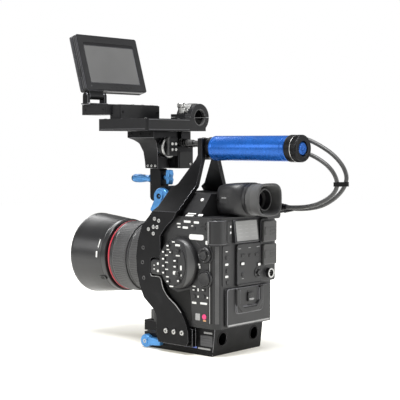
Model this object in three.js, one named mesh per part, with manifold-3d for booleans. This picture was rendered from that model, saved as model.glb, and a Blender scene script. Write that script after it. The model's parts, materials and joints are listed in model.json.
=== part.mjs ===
// A cinema camera rig: camera body, large hooded lens, curved two-arm cage on a rod baseplate, tube top handle,
// rear viewfinder, and a monitor and microphone unit on a clamp post. Millimetres, +Z up, the lens looks along
// -Y and the operator's left is +X. The origin is the centre of the baseplate's underside.
import * as THREE from 'three';
import Module from 'manifold-3d';
import { mergeVertices } from 'three/addons/utils/BufferGeometryUtils.js';

const wasm = await Module();
wasm.setup();

// Driving dimensions
const GAP = 0.3; // clearance between faces that touch
const ROD_DIAMETER = 15.2;
const ROD_SPACING = 60;
const ROD_HEIGHT = 19.6;
const BASE_WIDTH = 92;
const BASE_LENGTH = 114;
const BASE_HEIGHT = 33.4;
const BASE_REAR_SLOPE = 4;
const BODY_LEFT = 52;
const BODY_RIGHT = -52;
const BODY_FRONT = -38;
const BODY_REAR = 66;
const BODY_TOP = 164;
const BODY_WALL = 4;
const ARM_INNER = BODY_LEFT + 0.4;
const ARM_THICKNESS = 6;
const LENS_HEIGHT = 105.8;
const HANDLE_HEIGHT = 245;
const GRIP_RADIUS = 15;
const GRIP_FRONT = 19;
const GRIP_REAR = 131.7;
const STUB_HEIGHT = 186;
const STUB_RADIUS = 7.5;
const FINDER_HEIGHT = 184.7;
const FINDER_RADIUS = 20;
const MONITOR_HALF_WIDTH = 56;
const MONITOR_FRONT = -128;
const MONITOR_REAR = -42;
const MONITOR_FLOOR = 266.5;
const MONITOR_DECK = 281.5;
const MIC_X = -42;
const MIC_HEIGHT = 284;
const SCREEN_HINGE_Y = -148.6;
const SCREEN_HINGE_Z = 311.3;
const SCREEN_LEAN = THREE.MathUtils.degToRad(16.5);
const CABLE_RADIUS = 2.5;

// Finishes
const finish = (color, roughness, metalness) => new THREE.MeshStandardMaterial({ color, roughness, metalness });
const blackMetal = finish(0x1b1b1c, 0.45, 0.6);
const greyMetal = finish(0x8f8d8a, 0.4, 0.8);
const blackPlastic = finish(0x232324, 0.55, 0);
const rubber = finish(0x161616, 0.85, 0);
const blueGrip = finish(0x2a5fd0, 0.4, 0.5);
const blueLever = finish(0x5aa0e0, 0.35, 0.6);
const redPaint = finish(0xd0504a, 0.4, 0);
const darkGlass = finish(0x3a3a3c, 0.1, 0);
const screenGlass = finish(0x747474, 0.15, 0);
const statusGlass = finish(0x9a9a98, 0.3, 0);
const boardGreen = finish(0x2e5a3a, 0.6, 0);
const screwSteel = finish(0x9a9a9a, 0.3, 0.9);

// Shape helpers
function facingOut(geometry) {
  const merged = geometry.index ? geometry.toNonIndexed() : geometry;
  const place = merged.getAttribute('position');
  const corner = [new THREE.Vector3(), new THREE.Vector3(), new THREE.Vector3()];
  let volume = 0;
  for (let i = 0; i < place.count; i += 3) {
    corner.forEach((point, k) => point.fromBufferAttribute(place, i + k));
    volume += corner[0].dot(corner[1].clone().cross(corner[2]));
  }
  if (volume < 0) {
    for (let i = 0; i < place.count; i += 3) {
      corner.forEach((point, k) => point.fromBufferAttribute(place, i + k));
      place.setXYZ(i + 1, ...corner[2].toArray());
      place.setXYZ(i + 2, ...corner[1].toArray());
    }
  }
  return merged;
}

function solid(geometry) {
  const bare = new THREE.BufferGeometry();
  bare.setAttribute('position', facingOut(geometry).getAttribute('position').clone());
  const merged = mergeVertices(bare, 1e-3);
  return new wasm.Manifold(new wasm.Mesh({
    numProp: 3,
    vertProperties: new Float32Array(merged.getAttribute('position').array),
    triVerts: new Uint32Array(merged.index.array),
  }));
}

function shapeOf(manifold) {
  const mesh = manifold.getMesh();
  const geometry = new THREE.BufferGeometry();
  geometry.setAttribute('position', new THREE.BufferAttribute(new Float32Array(mesh.vertProperties), 3));
  geometry.setIndex([...mesh.triVerts]);
  return geometry;
}

const join = (first, ...rest) => shapeOf(rest.reduce((sum, next) => sum.add(solid(next)), solid(first)));
const cut = (first, ...rest) => shapeOf(rest.reduce((sum, next) => sum.subtract(solid(next)), solid(first)));
const common = (first, second) => shapeOf(solid(first).intersect(solid(second)));

// A box between two opposite corners.
function block(x, y, z) {
  const box = new THREE.BoxGeometry(x[1] - x[0], y[1] - y[0], z[1] - z[0]);
  return box.translate((x[0] + x[1]) / 2, (y[0] + y[1]) / 2, (z[0] + z[1]) / 2);
}

const polygon = (points) => new THREE.Shape(points.map(([u, v]) => new THREE.Vector2(u, v)));

function extruded(outline, depth, curveSegments = 4) {
  return new THREE.ExtrudeGeometry(outline, { depth, bevelEnabled: false, curveSegments });
}

// Outlines carried along an axis: (y, z) along X, (x, z) along Y, (x, y) along Z.
function alongX(outline, from, to, curveSegments = 4) {
  const turn = new THREE.Matrix4().makeBasis(
    new THREE.Vector3(0, 1, 0), new THREE.Vector3(0, 0, 1), new THREE.Vector3(1, 0, 0));
  return extruded(outline, to - from, curveSegments).applyMatrix4(turn).translate(from, 0, 0);
}

function alongY(outline, from, to) {
  const turn = new THREE.Matrix4().makeBasis(
    new THREE.Vector3(1, 0, 0), new THREE.Vector3(0, 0, 1), new THREE.Vector3(0, -1, 0));
  return extruded(outline, to - from).applyMatrix4(turn).translate(0, to, 0);
}

function alongZ(outline, from, to) {
  return extruded(outline, to - from).translate(0, 0, from);
}

// A rectangle between two corners with its corners rounded.
function roundedRectangle([u0, v0], [u1, v1], radius) {
  const outline = new THREE.Shape();
  outline.moveTo(u0 + radius, v0);
  outline.lineTo(u1 - radius, v0);
  outline.absarc(u1 - radius, v0 + radius, radius, -Math.PI / 2, 0, false);
  outline.lineTo(u1, v1 - radius);
  outline.absarc(u1 - radius, v1 - radius, radius, 0, Math.PI / 2, false);
  outline.lineTo(u0 + radius, v1);
  outline.absarc(u0 + radius, v1 - radius, radius, Math.PI / 2, Math.PI, false);
  outline.lineTo(u0, v0 + radius);
  outline.absarc(u0 + radius, v0 + radius, radius, Math.PI, Math.PI * 1.5, false);
  return outline;
}

const LEVER_TAPER = 0.36; // half the tail's width at its tip, as a share of its width at the disc

// A disc with a straight tail, the plan of a clamp lever: the disc sits at (0, 0) and the tail points along +u.
function leverOutline(radius, reach, width) {
  const meet = Math.asin(width / 2 / radius);
  const outline = new THREE.Shape();
  outline.absarc(0, 0, radius, meet, 2 * Math.PI - meet, false);
  outline.lineTo(reach, -width * LEVER_TAPER);
  outline.lineTo(reach, width * LEVER_TAPER);
  return outline;
}

const turnedAlongY = (profile, segments = 28) =>
  new THREE.LatheGeometry(profile.map(([r, y]) => new THREE.Vector2(r, y)), segments);

// A round bar or disc on each axis.
function cylinderY(radius, from, to, x = 0, z = 0, segments = 20) {
  return new THREE.CylinderGeometry(radius, radius, to - from, segments).translate(x, (from + to) / 2, z);
}

function cylinderX(radius, from, to, y = 0, z = 0, segments = 20) {
  return new THREE.CylinderGeometry(radius, radius, to - from, segments)
    .rotateZ(Math.PI / 2).translate((from + to) / 2, y, z);
}

function cylinderZ(radius, from, to, x = 0, y = 0, segments = 20) {
  return new THREE.CylinderGeometry(radius, radius, to - from, segments)
    .rotateX(Math.PI / 2).translate(x, y, (from + to) / 2);
}

// A tube wall about the Y axis.
const ringAlongY = (inner, outer, from, to, segments = 28) =>
  turnedAlongY([[inner, from], [outer, from], [outer, to], [inner, to], [inner, from]], segments);

function named(name, geometry, material) {
  const bare = new THREE.BufferGeometry();
  bare.setAttribute('position', facingOut(geometry).getAttribute('position').clone());
  const mesh = new THREE.Mesh(bare, material);
  mesh.name = name;
  return mesh;
}

function grouped(x, y, z, ...members) {
  const holder = new THREE.Group();
  holder.position.set(x, y, z);
  holder.add(...members);
  return holder;
}

// Baseplate
const PAD_OUTER = ARM_INNER - GAP;
const PAD_Y = [-21, 27];
const PAD_Z = [9, 31];
const PAD_INNER = 40;
const SCREW_PLACES = [-9.5, 3.5, 16.5];
const SCREW_HEIGHT = 26;
const THREAD = { places: [-28, 28], radius: 4.7, depth: 10 };
const CLAMP_SLIT = { x: [36, 47], rear: -32, half: 0.8 };
const BASE_LEVER = { radius: 8, reach: 24.5, width: 10, thickness: 7, hub: 4, hubEnd: 8.5 };
const LOCATING_PLATE = { halfWidth: 41, front: -52, height: 12, cornerRadius: 3, lensRelief: 32 };

function baseBlock() {
  const half = BASE_LENGTH / 2;
  const side = polygon([[-half, 0], [half - BASE_REAR_SLOPE, 0], [half, BASE_HEIGHT], [-half, BASE_HEIGHT]]);
  const pads = [-1, 1].map((s) => block([s * PAD_INNER, s * PAD_OUTER].sort((a, b) => a - b), PAD_Y, PAD_Z));
  const bores = [-1, 1].map((s) =>
    cylinderY(ROD_DIAMETER / 2, -half - 1, half + 1, s * ROD_SPACING / 2, ROD_HEIGHT, 28));
  const slit = block(CLAMP_SLIT.x, [-half - 1, CLAMP_SLIT.rear],
    [ROD_HEIGHT - CLAMP_SLIT.half, ROD_HEIGHT + CLAMP_SLIT.half]);
  const threads = THREAD.places.map((y) => cylinderZ(THREAD.radius, -1, THREAD.depth, 0, y));
  return cut(join(alongX(side, -BASE_WIDTH / 2, BASE_WIDTH / 2), ...pads), ...bores, slit, ...threads);
}

function baseLever() {
  const { radius, reach, width, thickness, hub, hubEnd } = BASE_LEVER;
  const blade = alongX(leverOutline(radius, reach, width), 0.4, thickness);
  return join(blade, cylinderX(hub, thickness - 1, hubEnd));
}

function locatingPlate() {
  const { halfWidth, front, height, cornerRadius, lensRelief } = LOCATING_PLATE;
  const plate = alongZ(roundedRectangle([-halfWidth, front], [halfWidth, BODY_FRONT - GAP], cornerRadius), 0, height);
  return cut(plate, cylinderY(lensRelief, front - 8, BODY_FRONT + 8, 0, LENS_HEIGHT - BASE_HEIGHT - GAP, 40));
}

// Cage
// The arm's outline from the side, front edge upwards and rear edge downwards, (y, z).
const ARM_OUTLINE = [
  [-22, 11], [-24, 16], [-26, 44], [-31, 51], [-46, 63], [-53, 77], [-58, 95], [-59, 113], [-56, 133],
  [-49, 151], [-36, 164], [-27, 175], [-24.5, 197], [-17, 202], [1, 229], [5.5, 237], [5.5, 257],
  [12.5, 257], [12.5, 200], [9, 172], [2, 161], [-10, 151], [-19, 140], [-18.5, 117], [-21, 113.5],
  [-33, 113], [-35, 110], [-35, 93], [-33, 90.5], [-19, 89.5], [-14, 77], [-6, 67], [6, 58.5], [15, 50],
  [21, 40], [25.5, 28], [26, 16], [23, 11],
];
// The inner face of the bent plate from behind, (x, z), going up.
const ARM_INNER_PATH = [[ARM_INNER, 5], [ARM_INNER, 167], [23, 198], [11.5, 231], [11.5, 262]];

// Moves each point of the inner path outwards by the plate's thickness, along the bisector at each bend.
function armOuterPath() {
  const points = ARM_INNER_PATH.map(([x, z]) => new THREE.Vector2(x, z));
  const normals = points.slice(1).map((point, i) => {
    const run = point.clone().sub(points[i]).normalize();
    return new THREE.Vector2(run.y, -run.x);
  });
  return points.map((point, i) => {
    const before = normals[Math.max(i - 1, 0)];
    const after = normals[Math.min(i, normals.length - 1)];
    const bisector = before.clone().add(after).normalize();
    return point.clone().add(bisector.multiplyScalar(ARM_THICKNESS / bisector.dot(after)));
  });
}

const ARM_SCREW = { hole: 3.3, head: 3, socket: 1.5, rise: 0.6 };
const ARM_HOLE_RADIUS = 1.9;
const UPPER_HOLES = [[-28, 160], [-21, 158], [-24, 150], [-30, 150], [-38, 147], [-30, 142]];
const BELLY_HOLES = [[-47, 124], [-48, 106], [-46, 87]];

function cageArm(side) {
  const outer = armOuterPath().map(({ x, y }) => [x, y]).reverse();
  const band = polygon([...ARM_INNER_PATH, ...outer].map(([x, z]) => [side * x, z]));
  const plate = common(alongY(band, -80, 50), alongX(polygon(ARM_OUTLINE), -70, 70));
  const through = [side * ARM_INNER - 10, side * ARM_INNER + 10];
  const screwHoles = SCREW_PLACES.map((y) => cylinderX(ARM_SCREW.hole, ...through, y, SCREW_HEIGHT, 16));
  const holes = [...UPPER_HOLES, ...BELLY_HOLES].map(([y, z]) => cylinderX(ARM_HOLE_RADIUS, ...through, y, z, 8));
  return cut(plate, ...screwHoles, ...holes);
}

function armScrew() {
  const top = ARM_THICKNESS + ARM_SCREW.rise;
  const socket = cylinderX(ARM_SCREW.socket, top - 2, top + 1, 0, 0, 6);
  return cut(cylinderX(ARM_SCREW.head, 1, top), socket);
}

// The inner face's distance from the middle plane at a height on its sloping shoulder.
function armInnerAt(z) {
  const [, low, high] = ARM_INNER_PATH;
  return low[0] + ((z - low[1]) * (high[0] - low[0])) / (high[1] - low[1]);
}

const BRIDGE = { y: [-23, -10], z: [180, 192], clearance: 0.6 };
const STUB_FRONT = -70;

function cageBridge() {
  const [low, high] = BRIDGE.z;
  const [wide, narrow] = BRIDGE.z.map((z) => armInnerAt(z) - BRIDGE.clearance);
  const bar = polygon([[-wide, low], [wide, low], [narrow, high], [-narrow, high]]);
  return join(alongY(bar, ...BRIDGE.y), cylinderY(STUB_RADIUS, STUB_FRONT, BRIDGE.y[0] + 3, 0, STUB_HEIGHT, 28));
}

// Top handle
const CHEEK = { y: [0.5, 13], z: [231, 257.5], halfWidth: 11.2, cornerRadius: 3 };
const COLLAR_RADIUS = 13.5;
const TUBE = { inner: 6.5, outer: 8 };
const GRIP_BORE = TUBE.outer + GAP;
const CAP = { radius: 15.8, front: GRIP_REAR + GAP, groove: 140, rear: 150, well: 7.7, floor: 146.2 };
const PLUG = { radius: 7.4, front: CAP.floor + GAP, rear: 149.6 };

function handleBlock() {
  const cheek = alongX(roundedRectangle([CHEEK.y[0], CHEEK.z[0]], [CHEEK.y[1], CHEEK.z[1]], CHEEK.cornerRadius),
    -CHEEK.halfWidth, CHEEK.halfWidth);
  const collar = cylinderY(COLLAR_RADIUS, CHEEK.y[1] - 0.2, GRIP_FRONT - GAP, 0, HANDLE_HEIGHT, 28);
  return join(cheek, collar);
}

const handleTube = () => ringAlongY(TUBE.inner, TUBE.outer, GRIP_FRONT, GRIP_REAR, 28);

const handleGrip = () => turnedAlongY([[GRIP_BORE, GRIP_FRONT], [GRIP_RADIUS - 1, GRIP_FRONT],
  [GRIP_RADIUS, GRIP_FRONT + 1], [GRIP_RADIUS, GRIP_REAR - 0.6], [GRIP_RADIUS - 0.6, GRIP_REAR],
  [GRIP_BORE, GRIP_REAR], [GRIP_BORE, GRIP_FRONT]]);

// The cap has a groove round it and a shallow well in its end for the plug.
function handleCap() {
  const { radius, front, groove, rear, well, floor } = CAP;
  const neck = radius - 0.8;
  return turnedAlongY([[0, front], [neck, front], [radius, front + 1], [radius, groove], [neck, groove + 0.6],
    [neck, groove + 1.8], [radius, groove + 2.4], [radius, rear - 1], [radius - 1, rear], [well + 0.8, rear],
    [well, floor], [0, floor]], 24);
}

const handlePlug = () => turnedAlongY([[0, PLUG.front], [PLUG.radius - 0.6, PLUG.front],
  [PLUG.radius, PLUG.rear - 1], [PLUG.radius - 1.2, PLUG.rear], [0, PLUG.rear]], 28);

// Camera body
const BODY_CORNER = { front: 3, rearLeft: 11, rearRight: 4 };

// The body's plan: chamfered front corners, a wide round at the rear left and a small one at the rear right.
function bodyPlan(inset) {
  const { front: chamfer, rearLeft, rearRight } = BODY_CORNER;
  const outline = new THREE.Shape();
  const left = BODY_LEFT - inset;
  const right = BODY_RIGHT + inset;
  const front = BODY_FRONT + inset;
  const rear = BODY_REAR - inset;
  outline.moveTo(left, front + chamfer);
  outline.lineTo(left, rear - rearLeft);
  outline.absarc(left - rearLeft, rear - rearLeft, rearLeft, 0, Math.PI / 2, false);
  outline.lineTo(right + rearRight, rear);
  outline.absarc(right + rearRight, rear - rearRight, rearRight, Math.PI / 2, Math.PI, false);
  outline.lineTo(right, front + chamfer);
  outline.lineTo(right + chamfer, front);
  outline.lineTo(left - chamfer, front);
  return outline;
}

const BODY_FLOOR = BASE_HEIGHT + GAP;
const BATTERY_BAY = { x: [-35, 29], z: [38, 77] };
const HUMP = { front: -7, rear: 35, top: 191 };
const TURRET = { x: [-52, -25.5], y: [38, 79], z: [160, 184], cornerRadius: 4 };
const CAVITY_TOP = BODY_TOP - 26;
const MOUNT_HOLE_RADIUS = 31;
const SOCKETS = [{ x: -44, z: 172.5 }, { x: -31.5, z: 175 }];
const SOCKET = { radius: 5.2, floor: 72 };
const SIDE_BUTTONS = [{ y: 14, z: 124 }, { y: 14, z: 96 }];
const SIDE_BUTTON = { radius: 2.9, pocket: 3.3, floor: 6.8, height: 4 };
const COVER = { y: 9.5, z: 108, halfWidth: 27.5, halfHeight: 31, height: 9.5, rimInset: 2.5, rimHeight: 11 };
const TONGUE = { y: [-32.6, -12], z: [92.5, 111], height: 9, cornerRadius: 3 };
const DIAL = { y: 48, z: 120.5, radius: 9.4, height: 4, key: 4.6, keyHeight: 5.6 };
const RECORD = { y: 48, z: 92.5, radius: 8.4, height: 3.4, crown: 7, crownHeight: 4.2 };
const CARD_DOOR = { x: 38, y: 52, z: [133, 161], rise: 2.2 };
const MOUNT_RING = { inner: 27, outer: 30.7, reach: 5.7, depth: 6 };
const BOARD = { x: [-46, 44], y: [-6, -4.4], z: [45, 130] };

function bodyShell() {
  const noseCut = polygon([[-60, 143], [-38, 143], [-22, 160], [-7, 166], [-60, 166]]);
  const outer = cut(alongZ(bodyPlan(0), BODY_FLOOR, BODY_TOP), alongX(noseCut, -60, 60));
  const hump = polygon([[-47, 160], [47, 160], [45, 170], [27, HUMP.top], [-27, HUMP.top], [-45, 170]]);
  const turret = alongY(roundedRectangle([TURRET.x[0], TURRET.z[0]], [TURRET.x[1], TURRET.z[1]],
    TURRET.cornerRadius), ...TURRET.y);
  const cavity = cut(alongZ(bodyPlan(BODY_WALL), BODY_FLOOR + BODY_WALL, CAVITY_TOP),
    block([-60, 60], [50, 70], [BATTERY_BAY.z[1] + 3, BODY_TOP]));
  const mountHole = cylinderY(MOUNT_HOLE_RADIUS, BODY_FRONT - 12, BODY_FRONT + 8, 0, LENS_HEIGHT, 40);
  const bay = block(BATTERY_BAY.x, [10, BODY_REAR + 1], BATTERY_BAY.z);
  const sockets = SOCKETS.map(({ x, z }) => cylinderY(SOCKET.radius, SOCKET.floor, TURRET.y[1] + 1, x, z, 20));
  const buttonPocket = cylinderX(RECORD.radius + 0.5, BODY_LEFT - 1.5, BODY_LEFT + 1, RECORD.y, RECORD.z, 24);
  return cut(join(outer, alongY(hump, HUMP.front, HUMP.rear), turret), cavity, mountHole, bay, buttonPocket,
    ...sockets);
}

function controlCover() {
  const { y, z, halfWidth, halfHeight, height, rimInset, rimHeight } = COVER;
  const oval = (inset) =>
    new THREE.Shape().absellipse(y, z, halfWidth - inset, halfHeight - inset, 0, 2 * Math.PI, false, 0);
  const disc = alongX(oval(0), 0, height, 14);
  const rim = alongX(oval(rimInset), height - 0.5, rimHeight, 14);
  const tongue = alongX(roundedRectangle([TONGUE.y[0], TONGUE.z[0]], [TONGUE.y[1], TONGUE.z[1]],
    TONGUE.cornerRadius), 0, TONGUE.height);
  const pockets = SIDE_BUTTONS.map((place) =>
    cylinderX(SIDE_BUTTON.pocket, SIDE_BUTTON.floor, rimHeight + 1, place.y, place.z, 16));
  return cut(join(disc, rim, tongue), ...pockets);
}

const sideButton = () => cylinderX(SIDE_BUTTON.radius, 0, SIDE_BUTTON.height, 0, 0, 16);
const selectDial = () => join(cylinderX(DIAL.radius, 0, DIAL.height, 0, 0, 24),
  cylinderX(DIAL.key, DIAL.height, DIAL.keyHeight));
const recordButton = () => join(cylinderX(RECORD.radius, 0, RECORD.height, 0, 0, 24),
  cylinderX(RECORD.crown, RECORD.height - 0.4, RECORD.crownHeight, 0, 0, 24));

// A band that wraps the rear left corner of the body.
function cardDoor() {
  const [low, high] = CARD_DOOR.z;
  const sleeve = cut(alongZ(bodyPlan(-CARD_DOOR.rise), low, high), alongZ(bodyPlan(-GAP), low - 20, high + 20));
  return common(sleeve, block([CARD_DOOR.x, BODY_LEFT + 20], [CARD_DOOR.y, BODY_REAR + 20], [low - 20, high + 20]));
}

const mountRing = () => ringAlongY(MOUNT_RING.inner, MOUNT_RING.outer, BODY_FRONT - MOUNT_RING.reach,
  BODY_FRONT + MOUNT_RING.depth);

// The sensor block about the lens axis: a plate with the sensor standing forward of it.
function sensorBlock() {
  return join(block([-22, 22], [-24, -14], [-20, 20]), block([-16, 16], [-26, -23], [-11, 11]));
}

const mainBoard = () => block(BOARD.x, BOARD.y, BOARD.z);
const batteryPack = () => block([BATTERY_BAY.x[0] + 1.5, BATTERY_BAY.x[1] - 1.5], [13, 65.5],
  [BATTERY_BAY.z[0] + 0.3, BATTERY_BAY.z[1] - 1]);

// Rear of the camera body
const REAR_FACE = BODY_REAR + GAP;
const LATCH = { x: -3, z: 68 };
const BATTERY_DOOR = { x: [-44, 39], z: [35.5, 80.5], thickness: 4, cornerRadius: 3 };
const BATTERY_BULGE = { x: [-27, 24], z: [50, 77.5], rise: 6, cornerRadius: 5 };
const LATCH_SLOT = { x: [-19, 16], z: [58, 90], cornerRadius: 3 };
const STATUS = { x: [-21, 24], z: [133.5, 161], foot: 4.6, head: 1.2 };
const PANEL = { x: [-25, 19], z: [82, 131.5], thickness: 3, cornerRadius: 2 };

// A rounded rectangle on the body's rear, from one depth out of the rear face to another.
const rearPad = ({ x, z, cornerRadius }, from, to) =>
  alongY(roundedRectangle([x[0], z[0]], [x[1], z[1]], cornerRadius), REAR_FACE + from, REAR_FACE + to);

function batteryCover() {
  const { thickness } = BATTERY_DOOR;
  const { rise } = BATTERY_BULGE;
  return cut(join(rearPad(BATTERY_DOOR, 0, thickness), rearPad(BATTERY_BULGE, thickness - 1, rise)),
    rearPad(LATCH_SLOT, thickness, rise + 3));
}

const batteryLatch = () => join(
  alongY(roundedRectangle([-5, -5.5], [5, 5.5], 1), 0, 2),
  block([-4, 4], [1.5, 3.4], [-1, 1]));

function statusScreen() {
  const [low, high] = STATUS.z;
  return alongX(polygon([[REAR_FACE, low], [REAR_FACE + STATUS.foot, low], [REAR_FACE + STATUS.head, high],
    [REAR_FACE, high]]), ...STATUS.x);
}

const JOYSTICK = { x: -19, z: 95.5, hole: 4.4, base: 3.9, head: 2.6, step: 3, height: 5 };

function rearPanel() {
  return cut(rearPad(PANEL, 0, PANEL.thickness),
    cylinderY(JOYSTICK.hole, REAR_FACE - 1, REAR_FACE + PANEL.thickness + 2, JOYSTICK.x, JOYSTICK.z, 20));
}

const rearJoystick = () => join(cylinderY(JOYSTICK.base, 0, JOYSTICK.step, 0, 0, 20),
  cylinderY(JOYSTICK.head, JOYSTICK.step, JOYSTICK.height, 0, 0, 20));

const COLUMN = { x: [-54, -25.5], z: [84, 159.5], thickness: 3, cornerRadius: 3 };
const ROUND_SOCKET = { x: -40, z: 93.5, outer: 6, bore: 4, reach: 8 };
const FLAPS = [[104, 129], [132, 157]];
const FLAP = { marginLeft: 2, marginRight: 1, thickness: 3.2, cornerRadius: 2 };

function terminalColumn() {
  const { x, z, outer, bore, reach } = ROUND_SOCKET;
  const barrel = cylinderY(outer, REAR_FACE + COLUMN.thickness - 1, REAR_FACE + reach, x, z, 24);
  return cut(join(rearPad(COLUMN, 0, COLUMN.thickness), barrel),
    cylinderY(bore, REAR_FACE + COLUMN.thickness, REAR_FACE + reach + 1, x, z, 24));
}

function terminalFlap(z) {
  const x = [COLUMN.x[0] + FLAP.marginRight, COLUMN.x[1] - FLAP.marginLeft];
  const start = COLUMN.thickness + GAP;
  return rearPad({ x, z, cornerRadius: FLAP.cornerRadius }, start, start + FLAP.thickness);
}

// Viewfinder, about its own axis with y = 0 at the tilt pivot
const FINDER_PIVOT_Y = 37;
const FINDER_TUBE_END = 80 - FINDER_PIVOT_Y;
const FINDER_BORE = { radius: 14, from: 24 };
const FINDER_FLARE = { x: [-17, 25], low: -18.8, high: -8 };
const DIOPTRE = { y: 22, z: 5, seat: 21, boss: 6, radius: 5, height: 3.6 };
const EYECUP = { halfWidth: 23, halfHeight: 19.5, cornerRadius: 15, wall: 3.5, end: 66, floor: FINDER_TUBE_END + 7,
  bore: 11.5 };
const EYE_GLASS = { radius: 13.5, front: 37.5, crown: 10.5 };

function finderBody() {
  const { radius, from } = FINDER_BORE;
  const { low, high } = FINDER_FLARE;
  const outline = turnedAlongY([[0, 1], [15, 1], [18.5, 3.5], [FINDER_RADIUS, 8], [FINDER_RADIUS, FINDER_TUBE_END],
    [radius, FINDER_TUBE_END], [radius, from], [0, from]]);
  const flare = alongX(polygon([[2, -12], [7, low], [38, low], [41, -13], [41, high], [2, high]]), ...FINDER_FLARE.x);
  const shoulder = block([14, 25], [2, 38], [-12, 4]);
  const dialBoss = block([-DIOPTRE.seat, -radius], [DIOPTRE.y - DIOPTRE.boss, DIOPTRE.y + DIOPTRE.boss],
    [DIOPTRE.z - DIOPTRE.boss, DIOPTRE.z + DIOPTRE.boss]);
  const bore = cylinderY(radius, from, FINDER_TUBE_END + 17, 0, 0, 32);
  return cut(join(outline, flare, shoulder, dialBoss), bore);
}

function eyecup() {
  const { halfWidth, halfHeight, cornerRadius, wall, end, floor } = EYECUP;
  const [inWidth, inHeight] = [halfWidth - wall, halfHeight - wall];
  const cup = alongY(roundedRectangle([-halfWidth, -halfHeight], [halfWidth, halfHeight], cornerRadius),
    FINDER_TUBE_END + GAP, end);
  const hollow = alongY(roundedRectangle([-inWidth, -inHeight], [inWidth, inHeight], cornerRadius - 2), floor, end + 4);
  const bore = cylinderY(EYECUP.bore, FINDER_TUBE_END - 2, end + 4, 0, 0, 28);
  return cut(cup, hollow, bore);
}

const eyepieceLens = () => turnedAlongY([[0, EYE_GLASS.front], [EYE_GLASS.radius, EYE_GLASS.front],
  [EYE_GLASS.radius, FINDER_TUBE_END - 1], [EYE_GLASS.crown, FINDER_TUBE_END], [0, FINDER_TUBE_END + 2]], 24);
const dioptreDial = () => cylinderX(DIOPTRE.radius, -DIOPTRE.height, 0, 0, 0, 24);

// Lens, about its own axis, y in the rig's frame. Each profile goes round the section as [radius, y] pairs.
const HOOD_FRONT = -184;
const HOOD_REAR = -126;
const HOOD = { mouth: 52.7, rear: 46.3, inside: 43.4, neck: 40.4 };
const ZOOM_RING = { inner: 39.3, outer: 44.6, y: [-86.2, -62.4] };
const FOCUS_RING = { inner: 39.8, outer: 45, y: [-115.3, -91.3] };
const RED_RING = { inner: 42.8, outer: 45.3, y: [-124, -120.6] };

function lensBarrel() {
  return turnedAlongY([[26.5, -44], [33, -44], [39, -57], [44, -57.5], [44, -62], [39, -62], [39, -86.6],
    [43.8, -86.6], [43.8, -91], [39.5, -91], [39.5, -115.6], [44.2, -115.6], [44.4, -120.3], [42.5, -120.3],
    [42.5, -125.2], [40, -125.2], [40, -112], [26.5, -60], [26.5, -44]], 32);
}

const lensRing = ({ inner, outer, y }) => ringAlongY(inner, outer, ...y, 32);
const frontElement = () => turnedAlongY([[0, -113], [36.5, -113], [39.5, -116], [36, -119], [20, -121.5],
  [0, -122.5]], 28);

function lensHood() {
  const { mouth, rear, inside, neck } = HOOD;
  const lip = rear - 0.9;
  return turnedAlongY([[lip, HOOD_REAR + 0.6], [rear, HOOD_REAR - 1], [mouth, HOOD_FRONT + 2],
    [mouth - 0.7, HOOD_FRONT], [mouth - 2.1, HOOD_FRONT + 1], [inside, HOOD_REAR - 3], [neck, HOOD_REAR - 3],
    [neck, HOOD_REAR + 0.6], [lip, HOOD_REAR + 0.6]], 36);
}

// Monitor and microphone unit
const MIC_CLAMP = { bore: 11, outer: 17.5, front: -67, screw: { x: 22, y: 12.5 } };
const DECK_CORNER = 4;
const TALL_SLAB = { x: [-23, 50], y: [-113, -94], top: 299 };
const SCREEN_ARM = { x: [26, 56], y: [-160, -108], z: [287, 300] };

function monitorBase() {
  const { bore, outer, front } = MIC_CLAMP;
  const deck = alongZ(roundedRectangle([-MONITOR_HALF_WIDTH, MONITOR_FRONT], [MONITOR_HALF_WIDTH, MONITOR_REAR],
    DECK_CORNER), MONITOR_FLOOR, MONITOR_DECK);
  const cradle = cut(cylinderY(outer, front, MONITOR_REAR, MIC_X, MIC_HEIGHT, 32),
    block([MIC_X - 28, MIC_X + 37], [front - 13, MONITOR_REAR + 12], [MIC_HEIGHT, MIC_HEIGHT + 36]));
  const ear = block([-26, -14], [front, MONITOR_REAR], [MONITOR_DECK - 2, MIC_HEIGHT]);
  const slab = alongZ(roundedRectangle([TALL_SLAB.x[0], TALL_SLAB.y[0]], [TALL_SLAB.x[1], TALL_SLAB.y[1]], 2),
    MONITOR_DECK - 1, TALL_SLAB.top);
  const arm = alongZ(roundedRectangle([SCREEN_ARM.x[0], SCREEN_ARM.y[0]], [SCREEN_ARM.x[1], SCREEN_ARM.y[1]], 6),
    ...SCREEN_ARM.z);
  return cut(join(deck, cradle, ear, slab, arm),
    cylinderY(bore, front - 13, MONITOR_REAR + 12, MIC_X, MIC_HEIGHT, 32));
}

// The upper half of the microphone clamp, about the bore's front end.
function micLid() {
  const { bore, outer, front, screw } = MIC_CLAMP;
  const long = MONITOR_REAR - front;
  const upper = cut(ringAlongY(bore, outer, 0, long), block([-30, 30], [-5, long + 5], [-30, GAP]));
  const ear = block([15, 28], [0, long], [GAP, 4]);
  return cut(join(upper, ear), cylinderZ(2.2, -2, 8, screw.x, screw.y, 16));
}

const micThumbscrew = () => join(cylinderZ(1.9, 0, 6, 0, 0, 16), cylinderZ(4.2, 4.2, 12, 0, 0, 20),
  cylinderZ(5.2, 12, 18, 0, 0, 20));

const SCREEN_HALF = { x: 55, y: 6.25, z: 37.5 };
const SCREEN_LIFT = 6;
const SCREEN_CENTRE_X = 3.5;
const POST_X = [24, 58];
const POST_FOOT = { y: [-157.5, -140.5], thickness: 1.9 };
const LUG = { width: 4.5, radius: 4.8 };

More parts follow.
